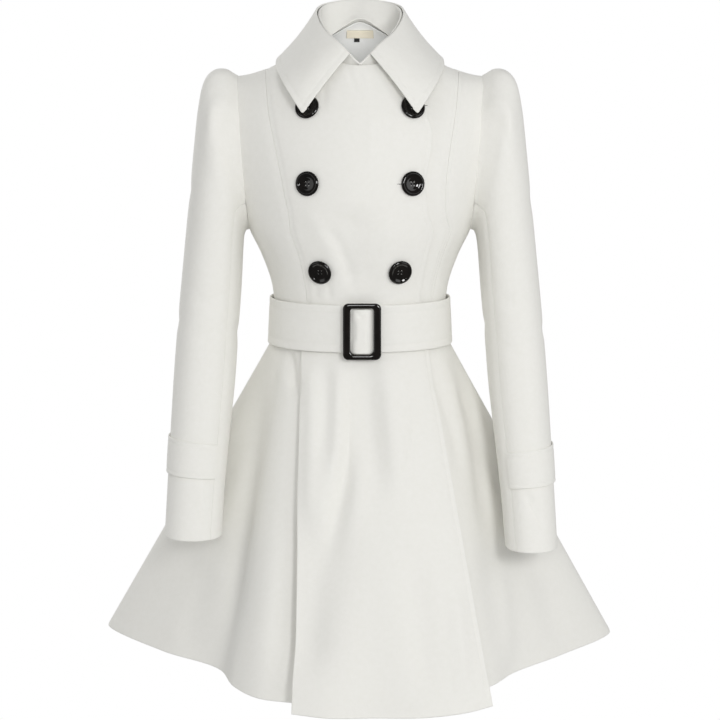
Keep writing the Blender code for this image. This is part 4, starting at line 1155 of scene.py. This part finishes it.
def seam_line(seam, sign=1.0):
    return lambda height: sign * seam_share(seam, height)


BodicePart = namedtuple("BodicePart", "face start end left_edge right_edge drop cut_neck")
BODICE_PARTS = {
    "bodice_front_right": BodicePart(
        "front", seam_line(PRINCESS_RIGHT, -1.0), seam_line(LAP_EDGE), SEWN, TURNED, None, True),
    "bodice_front_left": BodicePart(
        "front", seam_line(UNDERLAP_END), seam_line(PRINCESS_LEFT), FREE, SEWN, underlap_drop, True),
    "bodice_side_front_right": BodicePart(
        "front", side_edge(-1.0), seam_line(PRINCESS_RIGHT, -1.0), JOINED, SEAM, None, False),
    "bodice_side_front_left": BodicePart(
        "front", seam_line(PRINCESS_LEFT), side_edge(1.0), SEWN, JOINED, None, False),
    "bodice_side_back_right": BodicePart(
        "back", side_edge(-1.0), seam_line(BACK_PRINCESS, -1.0), JOINED, SEAM, None, False),
    "bodice_side_back_left": BodicePart(
        "back", seam_line(BACK_PRINCESS), side_edge(1.0), SEAM, JOINED, None, False),
    "bodice_back": BodicePart(
        "back", seam_line(BACK_PRINCESS, -1.0), seam_line(BACK_PRINCESS), SEWN, SEWN, None, True),
}


def make_bodice():
    wool = wool_material()
    rows = []
    for node, part in BODICE_PARTS.items():
        point = bodice_panel(part.face, part.start, part.end, part.drop, part.cut_neck)
        rows += cloth_piece(
            node, point, BODICE_LENGTH, WOOL_WALL, wool,
            (part.left_edge, part.right_edge, SEAM, SEAM), facing_in=part.face == "back",
            creases=BODICE_CREASES,
        )
    stitch_piece("stitches_bodice", rows)


# Skirt


def waist_ring(degrees, inset=0.0):
    """Points of the waist seam, counted from the middle of the front towards the left."""
    turn = np.radians(degrees)
    front, back = FRONT_SECTIONS[0], BACK_SECTIONS[0]
    depth = np.where(np.cos(turn) > 0, front.depth + ARMHOLE_Y, back.depth - ARMHOLE_Y)
    wide = np.copysign(np.abs(np.sin(turn)) ** SIDE_FULLNESS, np.sin(turn))
    deep = np.copysign(np.abs(np.cos(turn)) ** SIDE_FULLNESS, np.cos(turn))
    x = (front.half_width - inset) * wide
    y = ARMHOLE_Y - (depth - inset) * deep
    return np.stack(np.broadcast_arrays(x, y, WAIST_Z - SEAM_GAP), -1)


def fold_lines(folds, down):
    """The places of all fold lines at one share of the way from the waist to the hem."""
    places = []
    for fold in folds:
        waist = waist_ring(fold.waist_deg, fold.inset)
        hem = np.array((fold.hem_x, fold.hem_y, fold.hem_z))
        places.append(waist + (hem - waist) * down)
    return np.array(places)


def ring_rows(folds, first, last, across, down):
    """Rows of the smooth curve through the fold lines, between two of them."""
    rows = []
    for share, lower in zip(across, down[:, 0]):
        places = fold_lines(folds, lower)
        knots = run_lengths(places)
        low, high = knots[first] + 0.5 * SEAM_GAP, knots[last] - 0.5 * SEAM_GAP
        rows.append(through(knots, places, low + (high - low) * share))
    return np.array(rows)


def trough(across, down):
    """The soft trough that runs down from the buckle in the front skirt."""
    first, last = FRONT_FOLDS["pleat_edge"].waist_deg, FRONT_FOLDS["lap_edge"].waist_deg
    degrees = first + (last - first) * across
    side = bump(degrees - TROUGH_DEG, TROUGH_HALF_WIDTH_DEG)
    return TROUGH_DEPTH * side * bump(down - TROUGH_HEIGHT, TROUGH_REACH)


def make_skirt():
    wool = wool_material()
    front = list(FRONT_FOLDS.values())
    around = list(AROUND_FOLDS.values())
    names = list(AROUND_FOLDS)

    def front_point(u, v):
        places = ring_rows(front, 0, len(front) - 1, u, 1.0 - v)
        places[..., 1] += trough(u, 1.0 - v)
        return places

    rows = cloth_piece(
        "skirt_front", front_point, SKIRT_LENGTH, WOOL_WALL, wool,
        (FREE, TURNED, FREE, SEAM), creases=SKIRT_CREASES,
    )
    for node, (first, last) in SKIRT_PANELS.items():
        ends = names.index(first), names.index(last)

        def panel_point(u, v, ends=ends):
            return ring_rows(around, *ends, u, 1.0 - v)

        cloth_piece(
            node, panel_point, SKIRT_LENGTH, WOOL_WALL, wool,
            (SEAM, SEAM, FREE, SEAM), facing_in=True, creases=SKIRT_CREASES,
        )
    stitch_piece("stitches_skirt", rows)


# Sleeves


def sleeve_table(side):
    """The stations of one sleeve, with the left one's own hang worked in."""
    rows = np.array(SLEEVE_STATIONS)
    if side == "left":
        share = np.linspace(0.0, 1.0, len(rows))[:, None] ** 2
        rows = rows + share * np.array((
            LEFT_CUFF_SWING - 0.5 * LEFT_SLEEVE_NARROWING, -LEFT_CUFF_DROP,
            LEFT_CUFF_SWING + 0.5 * LEFT_SLEEVE_NARROWING, -LEFT_CUFF_DROP, 0.0, 0.0,
        ))
    return rows


def tuck_rise(degrees, station):
    """The rise of the tucks on the sleeve head."""
    rise = sum(t.height * bump(degrees - t.deg, t.half_width_deg) for t in SLEEVE_TUCKS)
    return np.where(station > 0, rise * bump(station - TUCK_STATION, TUCK_REACH), 0.0)


def sleeve_point(side, degrees, station):
    """Points of the sleeve's outer surface. 0 degrees is its outer line and 90 its front."""
    stations = sleeve_table(side)
    degrees, station = np.broadcast_arrays(np.asarray(degrees, float), np.asarray(station, float))
    rows = through(np.arange(len(stations)), stations, station)
    x_outer, z_outer, x_inner, z_inner, y_middle, half_depth = np.moveaxis(rows, -1, 0)
    turn = np.radians(degrees)
    fullness = 1.0 + (SLEEVE_FULLNESS - 1.0) * ease(station / FULL_SECTION_STATIONS)
    along = np.copysign(np.abs(np.cos(turn)) ** fullness, np.cos(turn))
    deep = np.copysign(np.abs(np.sin(turn)) ** fullness, np.sin(turn))
    zero = np.zeros_like(turn)
    half_axis = 0.5 * np.stack((x_outer - x_inner, zero, z_outer - z_inner), -1)
    middle = np.stack((0.5 * (x_outer + x_inner), y_middle, 0.5 * (z_outer + z_inner)), -1)
    outward = unit(half_axis) * np.cos(turn)[..., None] + np.stack((zero, -np.sin(turn), zero), -1)
    place = middle + half_axis * along[..., None] + np.stack((zero, -half_depth * deep, zero), -1)
    place = place + outward * tuck_rise(degrees, station)[..., None]
    return place * np.array((SIDES[side], 1.0, 1.0))


def station_at(side, share):
    """The station at a share of the sleeve's length along its outer line."""
    stations = np.linspace(0.0, len(SLEEVE_STATIONS) - 1.0, SLEEVE_SAMPLES)
    line = sleeve_point(side, 0.0, stations)
    passed = run_lengths(line)
    return np.interp(share, passed / passed[-1], stations)


SleevePart = namedtuple("SleevePart", "start_deg end_deg held")
SLEEVE_PARTS = {
    "upper": SleevePart(-SLEEVE_SEAM_DEG, SLEEVE_SEAM_DEG, "gathered"),
    "under": SleevePart(SLEEVE_SEAM_DEG, 360.0 - SLEEVE_SEAM_DEG, "hung"),
}


def make_sleeves():
    wool = wool_material()
    rows = []
    for side in SIDES:
        for piece, part in SLEEVE_PARTS.items():

            def point(u, v, side=side, part=part):
                start, end = part.start_deg + SLEEVE_SEAM_GAP_DEG, part.end_deg - SLEEVE_SEAM_GAP_DEG
                place = sleeve_point(side, start + (end - start) * u, station_at(side, 1.0 - v))
                tucked = ease((v - 1.0 + SLEEVE_TUCK_SHARE) / SLEEVE_TUCK_SHARE)
                place[..., 0] -= SIDES[side] * SLEEVE_TUCK * tucked
                return place

            cloth_piece(
                f"sleeve_{piece}_{side}", point, SLEEVE_LENGTH, WOOL_WALL, wool,
                (SEAM, SEAM, FREE, JOINED), facing_in=side == "left",
                creases=SLEEVE_CREASES,
            )

        strap_end = 2.0 * SLEEVE_SEAM_DEG / UPPER_SLEEVE_COLUMNS - SLEEVE_SEAM_DEG

        def strap_point(u, v, side=side, strap_end=strap_end):
            degrees = strap_end + (SLEEVE_SEAM_DEG - strap_end) * u
            station = STRAP_BOTTOM_STATION + (STRAP_TOP_STATION - STRAP_BOTTOM_STATION) * v
            under = sleeve_point(side, degrees, station)
            return under - SIDES[side] * grid_normals(under, 1.0) * (LAY_GAP + STRAP_WALL)

        rows += cloth_piece(
            f"cuff_strap_{side}", strap_point, STRAP_LENGTH, STRAP_WALL, wool,
            (FREE, SEAM, STRAPPED, STRAPPED), facing_in=side == "left",
        )
    stitch_piece("stitches_cuffs", rows)


# Collar


def neckline_point(way):
    """Points of the bodice's left neckline: 0 is the middle of the front and 1 that of the back."""
    places = []
    front_share = NECK_SIDE_SHARE * np.minimum(1.0, way / NECK_SIDE_AT)
    back_share = NECK_SIDE_SHARE * np.minimum(1.0, (1.0 - way) / (1.0 - NECK_SIDE_AT))
    for face, share in (("front", front_share), ("back", back_share)):
        places.append(bodice_surface(face, share, shoulder_height(neck_height(face, share))))
    return np.where((way < NECK_SIDE_AT)[..., None], *places)


def collar_line(line, way):
    """Place and bulge of a line of the collar, which crosses the middle of the back level."""
    beyond = line[-2]
    mirrored = beyond._replace(share=2.0 - beyond.share, x=-beyond.x)
    rows = np.array((*line, mirrored))
    found = through(rows[:, 0], rows[:, 1:], way)
    return found[..., :3], found[..., 3]


def level(vectors):
    """The directions of vectors in the level plane."""
    return unit(vectors * np.array((1.0, 1.0, 0.0)))


def stand_point(way, up):
    """The stand rises from the neckline, a little inside it, to the roll line."""
    low = neckline_point(way)
    low = low - level(low) * STAND_INSET - np.array((0.0, 0.0, STAND_TUCK))
    roll, _ = collar_line(ROLL_LINE, way)
    return low + (roll - low) * up[..., None]


def round_corner(first, second, radius):
    """Distances from two edges, drawn in where the corner between the edges is rounded."""
    short, beside = np.maximum(0.0, radius - first), np.maximum(0.0, radius - second)
    drawn = 1.0 - np.maximum(short, beside) / np.maximum(TINY, np.hypot(short, beside))
    return first + short * drawn, second + beside * drawn


def fall_point(way, down):
    """The fall turns over the roll line and runs out to the collar's edge."""
    in_front = (way - FALL_START) * FALL_HALF_LENGTH / (1.0 - FALL_START)
    in_front, above = round_corner(in_front, (1.0 - down) * FALL_LENGTH, TIP_ROUND)
    way = FALL_START + in_front * (1.0 - FALL_START) / FALL_HALF_LENGTH
    down = 1.0 - above / FALL_LENGTH
    roll_way = ROLL_START + (way - FALL_START) * (1.0 - ROLL_START) / (1.0 - FALL_START)
    roll, _ = collar_line(ROLL_LINE, roll_way)
    outward = level(roll)
    start = roll + outward * (COLLAR_WALL + LAY_GAP) + np.array((0.0, 0.0, FALL_LIFT))
    edge, bulge = collar_line(FALL_EDGE, way)
    across = unit(np.cross(edge - start, np.cross(outward, (0.0, 0.0, 1.0))))
    across = across * np.where(across[..., 2:] > 0, 1.0, -1.0)
    rise = bulge * np.sin(np.pi * down)
    return start + (edge - start) * down[..., None] + across * rise[..., None]


def both_sides(half_point, start):
    """A point function over the whole collar from one for its left half."""

    def point(u, v):
        from_middle = 1.0 - np.abs(2.0 * u - 1.0)
        place = half_point(start + (1.0 - start) * from_middle, v)
        place[..., 0] *= np.where(u < 0.5, -1.0, 1.0)
        return place

    return point


def make_collar():
    wool = wool_material()
    rows = cloth_piece(
        "collar_stand", both_sides(stand_point, STAND_START), STAND_LENGTH, COLLAR_WALL, wool,
        (FREE, FREE, SEAM, FREE), facing_in=True, step=COLLAR_STEP,
    )
    rows += cloth_piece(
        "collar_fall", both_sides(lambda way, v: fall_point(way, 1.0 - v), FALL_START), FALL_LENGTH,
        COLLAR_WALL, wool, (TURNED, TURNED, TURNED, FREE), facing_in=True,
        creases=COLLAR_CREASES, step=COLLAR_STEP,
    )
    stitch_piece("stitches_collar", rows)


# Belt and buckle


def belt_point(degrees, up):
    """Points of the belt's outer face, on the waist ring moved out."""
    clearance = BELT_BOTTOM_CLEARANCE + (BELT_TOP_CLEARANCE - BELT_BOTTOM_CLEARANCE) * up
    place = waist_ring(degrees, -(clearance + BELT_WALL))
    place[..., 2] = BELT_BOTTOM_Z + (BELT_TOP_Z - BELT_BOTTOM_Z) * up
    return place


def on_belt(across, up, out):
    """Places counted from the middle of the buckle: across, up along the belt and out of it."""
    upward = unit(belt_point(0.0, 1.0) - belt_point(0.0, 0.0))
    outward = np.array((0.0, -upward[2], upward[1]))
    middle = belt_point(0.0, 0.5) + upward * BUCKLE_DROP + np.array((BUCKLE_X, 0.0, 0.0))
    across, up, out = (item[..., None] for item in np.broadcast_arrays(across, up, out))
    return middle + outward * out + upward * up + np.array((1.0, 0.0, 0.0)) * across


def make_belt():
    wool = wool_material()

    def band_point(u, v):
        return belt_point(BELT_END_DEG + (360.0 - 2.0 * BELT_END_DEG) * u, v)

    rows = cloth_piece(
        "belt_band", band_point, BELT_TOP_Z - BELT_BOTTOM_Z, BELT_WALL, wool,
        (FREE, FREE, BELTED, BELTED), creases=BELT_CREASES,
    )
    stitch_piece("stitches_belt", rows)
    half_wide = 0.5 * BUCKLE_WINDOW[0] + WRAP_TUCK
    high = BUCKLE_WINDOW[1] - 2.0 * WRAP_MARGIN

    def wrap_point(u, v):
        across = half_wide * (2.0 * u - 1.0)
        inside = np.minimum(1.0, np.abs(across) / (0.5 * BUCKLE_WINDOW[0] - WRAP_MARGIN))
        behind_bar = np.maximum(0.0, np.abs(across) - 0.5 * BUCKLE_WINDOW[0]) / WRAP_TUCK
        out = STRAP_WALL + 1.5 * LAY_GAP + WRAP_RISE * (1.0 - inside**3) - WRAP_SETBACK * behind_bar
        return on_belt(across, high * (v - 0.5), out)

    cloth_piece(
        "belt_wrap", wrap_point, high, STRAP_WALL, wool, (FREE,) * 4,
        creases=WRAP_CREASES, step=WRAP_STEP,
    )


def rounded_loop(width, height, top_corner, low_corner, steps):
    """A rounded rectangle as points in order, the same number on every corner."""
    corners = ((1, 1, top_corner), (-1, 1, top_corner), (-1, -1, low_corner), (1, -1, low_corner))
    points = []
    for k, (sx, sy, corner) in enumerate(corners):
        for turn in 0.5 * np.pi * (k + np.linspace(0.0, 1.0, steps + 1)):
            points.append((
                sx * (0.5 * width - corner) + corner * math.cos(turn),
                sy * (0.5 * height - corner) + corner * math.sin(turn),
            ))
    return np.array(points)


def loop_mesh(name, rings):
    """A closed tube through rings of points, each ring closed and the last joined to the first."""
    rings = np.asarray(rings)
    count, steps = rings.shape[:2]
    index = np.arange(count * steps).reshape(count, steps)
    after, beside = np.roll(index, -1, 0), np.roll(index, -1, 1)
    faces = np.stack((index, beside, np.roll(after, -1, 1), after), -1).reshape(-1, 4)
    mesh = bpy.data.meshes.new(name)
    mesh.from_pydata(rings.reshape(-1, 3).tolist(), [], faces.tolist())
    bm = bmesh.new()
    bm.from_mesh(mesh)
    bmesh.ops.recalc_face_normals(bm, faces=bm.faces)
    if bm.calc_volume(signed=True) < 0.0:
        bmesh.ops.reverse_faces(bm, faces=bm.faces)
    bm.to_mesh(mesh)
    bm.free()
    mesh.shade_smooth()
    return mesh


def make_buckle():
    outer = rounded_loop(BUCKLE_WIDTH, BUCKLE_HEIGHT, BUCKLE_CORNER, BUCKLE_CORNER, CORNER_STEPS)
    low_corner = LOW_CORNER_SHARE * BUCKLE_WINDOW_CORNER
    window = rounded_loop(*BUCKLE_WINDOW, BUCKLE_WINDOW_CORNER, low_corner, CORNER_STEPS)
    rings = []
    for inward, raised in BUCKLE_SECTION:
        flat = outer + (window - outer) * inward
        out = STRAP_WALL + 2.0 * LAY_GAP + BUCKLE_DEPTH * raised
        rings.append(on_belt(flat[:, 0], flat[:, 1], out))
    mesh = loop_mesh("resin_buckle_frame", rings)
    add_piece("resin_buckle_frame", mesh, resin_material(), "buckle_frame")


# Buttons


def turned_mesh(name):
    """A button turned round its profile, with a dished middle."""
    bm = bmesh.new()
    rim = [bm.verts.new((BUTTON_RADIUS * p.radius_share, 0.0, p.height)) for p in BUTTON_PROFILE]
    edges = [bm.edges.new(pair) for pair in zip(rim, rim[1:])]
    bmesh.ops.spin(
        bm, geom=rim + edges, cent=(0, 0, 0), axis=(0, 0, 1), angle=2.0 * math.pi, steps=BUTTON_STEPS,
        use_merge=True,
    )
    bmesh.ops.remove_doubles(bm, verts=bm.verts, dist=MERGE_DISTANCE)
    bmesh.ops.recalc_face_normals(bm, faces=bm.faces)
    return mesh_from(bm, name)


def button_mesh(name):
    """A turned button with four holes drilled through it."""
    blank = put_in_scene(name, turned_mesh(name))
    bm = bmesh.new()
    for sx, sy in ((1, 1), (-1, 1), (-1, -1), (1, -1)):
        bmesh.ops.create_cone(
            bm, cap_ends=True, segments=HOLE_STEPS, radius1=HOLE_RADIUS, radius2=HOLE_RADIUS,
            depth=DRILL_LENGTH,
            matrix=Matrix.Translation((sx * HOLE_SPREAD, sy * HOLE_SPREAD, 0.0)),
        )
    drill = put_in_scene("drill", mesh_from(bm, "drill"))
    holes = blank.modifiers.new("holes", "BOOLEAN")
    holes.object = drill
    holes.solver = "EXACT"
    mesh = bpy.data.meshes.new_from_object(blank.evaluated_get(bpy.context.evaluated_depsgraph_get()))
    bpy.data.objects.remove(blank)
    bpy.data.objects.remove(drill)
    mesh.materials.clear()
    mesh.name = name
    mesh.shade_smooth()
    mesh.set_sharp_from_angle(angle=math.radians(BUTTON_SHARP_DEG))
    return mesh


def capsule_mesh(name, lines):
    """A short capsule from end to end of each line: a button thread, or the painted shade of a buttonhole
    slit.
    """
    bm = bmesh.new()
    for start, end in lines:
        start, end = Vector(start), Vector(end)
        turn = (end - start).to_track_quat("Z", "Y").to_matrix().to_4x4()
        thread = SEWING_SHARE * sizes().thread_width
        shape = Matrix.Diagonal((thread, thread, 0.5 * (end - start).length, 1.0))
        place = Matrix.Translation(0.5 * (start + end)) @ turn @ shape
        bmesh.ops.create_uvsphere(
            bm, u_segments=SEWING_STEPS, v_segments=SEWING_STEPS, radius=1.0, matrix=place,
        )
    mesh = mesh_from(bm, name)
    mesh.shade_smooth()
    return mesh


def make_buttons():
    resin = resin_material()
    threads_and_slit_shades = []
    shape = button_mesh("button")
    for row in BUTTON_ROWS:
        for side, sign in SIDES.items():
            guess = sign * BUTTON_GUESS[0], BUTTON_GUESS[1]
            share, height = share_at("front", sign * row.x, row.z, guess)
            place = bodice_point("front", share, height, row.lift)
            normal = bodice_normal("front", share, height)
            turn = Vector(normal).to_track_quat("Z", "Y").to_matrix().to_4x4()
            mesh = shape.copy()
            mesh.transform(Matrix.Translation(place) @ turn)
            node = f"button_{row.name}_{side}"
            add_piece(f"resin_{node}", mesh, resin, node)
            for across in (HOLE_SPREAD, -HOLE_SPREAD):
                ends = [turn @ Vector((across, up, SEWING_HEIGHT)) for up in (HOLE_SPREAD, -HOLE_SPREAD)]
                threads_and_slit_shades.append([np.array(end) + place for end in ends])
    # Dark lines in the buttonholes: painted shade of the slits, not thread
    for hole in BUTTONHOLE_SHADE_LINES:
        ends = []
        for x, z in hole:
            share, height = share_at("front", x, z, BUTTON_GUESS)
            ends.append(bodice_point("front", share, height, BUTTONHOLE_RISE))
        threads_and_slit_shades.append(ends)
    mesh = capsule_mesh("buttons_thread_and_slit_shade", threads_and_slit_shades)
    add_piece("buttons_thread_and_slit_shade", mesh, slit_shade_and_button_thread_material())


# Neck lining and labels


def make_neck_lining():
    lining_out = -(WOOL_WALL + LINING_EASE)

    def lining_point(u, v):
        share = LINING_HALF_SHARE * (2.0 * u - 1.0)
        top = neck_height("back", share) - LINING_TOP_MARGIN
        height = LINING_LOW_HEIGHT + (top - LINING_LOW_HEIGHT) * v
        return bodice_point("back", share, height, lining_out)

    cloth_piece(
        "neck_lining", lining_point, LINING_LENGTH, LINING_WALL, lining_material(),
        (FREE,) * 4, facing_in=True, step=LINING_STEP,
    )
    label_out = lining_out - LINING_WALL - 2.0 * LAY_GAP
    tab_top = LABEL_TOP_Z - LABEL_HEIGHT - LAY_GAP
    pieces = {
        "neck_label": (0.0, LABEL_WIDTH, LABEL_TOP_Z, LABEL_HEIGHT, "label", colours().label),
        "size_tab": (TAB_X, TAB_WIDTH, tab_top, TAB_HEIGHT, "tab", colours().tab_thread_and_slit_shade),
    }
    for node, (middle, width, top, tall, slot, colour) in pieces.items():

        def label_point(u, v, middle=middle, width=width, top=top, tall=tall):
            x, z = middle + width * (u - 0.5), top - tall * (1.0 - v)
            share, height = share_at("back", np.abs(x) + MIDDLE_CLEARANCE, z, LABEL_GUESS)
            return bodice_point("back", np.copysign(share, x), height, label_out)

        cloth_piece(
            node, label_point, tall, LABEL_WALL, label_material(f"woven_{slot}", tuple(colour)),
            (FREE,) * 4, facing_in=True, step=LABEL_STEP,
        )


# Stage


def add_area_light(settings):
    light = bpy.data.lights.new(settings.name, "AREA")
    light.energy = settings.power
    light.shape = "DISK"
    light.size = settings.size
    light.spread = math.radians(settings.spread_deg)
    made = put_in_scene(settings.name, light)
    made.location = settings.place
    made.visible_camera = False
    away = Vector(settings.aim) - Vector(settings.place)
    made.rotation_euler = away.to_track_quat("-Z", "Y").to_euler()


def seen_white(tree, light_strength):
    """A strength that is 1 where the camera looks, low in a gloss and even where light comes from."""
    path = tree.nodes.new("ShaderNodeLightPath")
    gloss = tree.nodes.new("ShaderNodeMix")
    gloss.inputs["A"].default_value = light_strength
    gloss.inputs["B"].default_value = MIRRORED_LIGHT
    tree.links.new(path.outputs["Is Glossy Ray"], gloss.inputs["Factor"])
    strength = tree.nodes.new("ShaderNodeMix")
    strength.inputs["B"].default_value = 1.0
    tree.links.new(gloss.outputs["Result"], strength.inputs["A"])
    tree.links.new(path.outputs["Is Camera Ray"], strength.inputs["Factor"])
    return strength.outputs["Result"]


def studio_world(scene):
    world = bpy.data.worlds.new("studio")
    scene.world = world
    world.use_nodes = True
    tree = world.node_tree
    background = tree.nodes["Background"]
    background.inputs["Color"].default_value = (1.0, 1.0, 1.0, 1.0)
    tree.links.new(seen_white(tree, WORLD_LIGHT), background.inputs["Strength"])


def pale_floor_material():
    pale, tree, shader = new_material("pale_floor", (0.0, 0.0, 0.0), 1.0)
    shader.inputs["Specular IOR Level"].default_value = 0.0
    shader.inputs["Emission Color"].default_value = (1.0, 1.0, 1.0, 1.0)
    tree.links.new(seen_white(tree, FLOOR_LIGHT), shader.inputs["Emission Strength"])
    return pale


def make_stage():
    scene = bpy.context.scene
    scene.view_settings.view_transform = "Standard"
    studio_world(scene)
    bm = bmesh.new()
    bmesh.ops.create_grid(bm, x_segments=8, y_segments=8, size=FLOOR_HALF_SIZE)
    floor = put_in_scene("floor", mesh_from(bm, "floor"))
    floor.location.z = FLOOR_Z
    floor.data.materials.append(pale_floor_material())
    for light in LIGHTS:
        add_area_light(light)
    camera = bpy.data.cameras.new("camera")
    camera.lens = CAMERA_LENS_MM
    camera.sensor_width = CAMERA_SENSOR_MM
    made = put_in_scene("camera", camera)
    turn = math.radians(CAMERA_ELEVATION_DEG)
    made.location.y = -CAMERA_DISTANCE * math.cos(turn)
    made.location.z = CAMERA_AIM_Z + CAMERA_DISTANCE * math.sin(turn)
    made.rotation_euler = (math.radians(90.0 - CAMERA_ELEVATION_DEG), 0.0, 0.0)
    scene.camera = made


# Settings, operators and sidebar


def length_setting(name, description, default, low, high):
    return bpy.props.FloatProperty(
        name=name, description=description, default=default, min=low, max=high, unit="LENGTH",
    )


def colour_setting(name, description, default):
    return bpy.props.FloatVectorProperty(
        name=name, description=description, default=default, subtype="COLOR",
    )


class CoatSizes(bpy.types.PropertyGroup):
    """Sizes that a user may change."""

    cloth_step: length_setting(
        "Cloth step", "Distance between the points of the cloth grids", 0.0040, 0.001, 0.02)
    stitch_pitch: length_setting(
        "Stitch pitch", "Distance from one stitch to the next", 0.0036, 0.001, 0.02)
    stitch_length: length_setting("Stitch length", "Length of a stitch that shows", 0.0026, 0.0005, 0.02)
    thread_width: length_setting("Thread width", "Width of the sewing thread", 0.0006, 0.0002, 0.005)
    crease_strength: bpy.props.FloatProperty(
        name="Crease strength", description="Share of the placed creases' depth", default=1.0, min=0.0,
        max=1.5, subtype="FACTOR",
    )


class CoatColours(bpy.types.PropertyGroup):
    """Colours that a user may change."""

    wool: colour_setting("Wool", "Main tone of the wool", (0.87, 0.862, 0.82))
    wool_shade: colour_setting("Wool shade", "Darker tone between the wool's clumps", (0.852, 0.844, 0.798))
    lining: colour_setting("Lining", "Tone of the satin lining", (0.93, 0.935, 0.92))
    lining_shade: colour_setting("Lining shade", "Darker tone of the satin lining", (0.88, 0.885, 0.87))
    label: colour_setting("Label", "Tone of the bare neck label", (0.93, 0.86, 0.70))
    # This dark tone also colours the button thread and the painted shade in the buttonhole slits
    tab_thread_and_slit_shade: colour_setting("Tab", "Tone of the small dark tab", (0.02, 0.02, 0.02))
    resin: colour_setting("Resin", "Tone of the buttons and the buckle", (0.004, 0.0035, 0.003))
    resin_light: colour_setting("Resin marbling", "Lighter tone in the resin", (0.009, 0.007, 0.006))


class COAT_OT_bodice(bpy.types.Operator):
    """Makes the seven pieces of the bodice."""

    bl_idname = "coat.bodice"
    bl_label = "Bodice"

    def execute(self, context):
        make_bodice()
        return {"FINISHED"}


class COAT_OT_skirt(bpy.types.Operator):
    """Makes the five pieces of the flared skirt."""

    bl_idname = "coat.skirt"
    bl_label = "Skirt"

    def execute(self, context):
        make_skirt()
        return {"FINISHED"}


class COAT_OT_sleeves(bpy.types.Operator):
    """Makes both two-piece sleeves and their cuff straps."""

    bl_idname = "coat.sleeves"
    bl_label = "Sleeves"

    def execute(self, context):
        make_sleeves()
        return {"FINISHED"}


class COAT_OT_collar(bpy.types.Operator):
    """Makes the stand and the fall of the collar."""

    bl_idname = "coat.collar"
    bl_label = "Collar"

    def execute(self, context):
        make_collar()
        return {"FINISHED"}


class COAT_OT_belt(bpy.types.Operator):
    """Makes the belt, its wrapped end and the buckle."""

    bl_idname = "coat.belt"
    bl_label = "Belt and buckle"

    def execute(self, context):
        make_belt()
        make_buckle()
        return {"FINISHED"}


class COAT_OT_buttons(bpy.types.Operator):
    """Makes the six buttons."""

    bl_idname = "coat.buttons"
    bl_label = "Buttons"

    def execute(self, context):
        make_buttons()
        return {"FINISHED"}


class COAT_OT_neck_lining(bpy.types.Operator):
    """Makes the lining inside the back neck with its bare label and tab."""

    bl_idname = "coat.neck_lining"
    bl_label = "Neck lining"

    def execute(self, context):
        make_neck_lining()
        return {"FINISHED"}


class COAT_OT_stage(bpy.types.Operator):
    """Makes the pale floor, the soft light and the camera."""

    bl_idname = "coat.stage"
    bl_label = "Stage"

    def execute(self, context):
        make_stage()
        return {"FINISHED"}


OPERATORS = (
    COAT_OT_stage, COAT_OT_bodice, COAT_OT_skirt, COAT_OT_sleeves, COAT_OT_collar, COAT_OT_belt,
    COAT_OT_buttons, COAT_OT_neck_lining,
)


class COAT_PT_sidebar(bpy.types.Panel):
    """Lists the coat's settings and pieces."""

    bl_label = "Flared coat"
    bl_idname = "COAT_PT_sidebar"
    bl_space_type = "VIEW_3D"
    bl_region_type = "UI"
    bl_category = "Coat"

    def draw(self, context):
        for group in (context.scene.coat_sizes, context.scene.coat_colours):
            for name in group.__annotations__:
                self.layout.prop(group, name)
        for operator in OPERATORS:
            self.layout.operator(operator.bl_idname)


CLASSES = (CoatSizes, CoatColours, *OPERATORS, COAT_PT_sidebar)


def register():
    for item in CLASSES:
        bpy.utils.register_class(item)
    bpy.types.Scene.coat_sizes = bpy.props.PointerProperty(type=CoatSizes)
    bpy.types.Scene.coat_colours = bpy.props.PointerProperty(type=CoatColours)


def unregister():
    del bpy.types.Scene.coat_colours
    del bpy.types.Scene.coat_sizes
    for item in reversed(CLASSES):
        bpy.utils.unregister_class(item)


def main():
    register()
    for old in list(bpy.context.scene.objects):
        if old.type in {"CAMERA", "LIGHT"}:
            bpy.data.objects.remove(old)
    bpy.ops.coat.stage()
    bpy.ops.coat.bodice()
    bpy.ops.coat.skirt()
    bpy.ops.coat.sleeves()
    bpy.ops.coat.collar()
    bpy.ops.coat.belt()
    bpy.ops.coat.buttons()
    bpy.ops.coat.neck_lining()


if __name__ == "__main__":
    main()
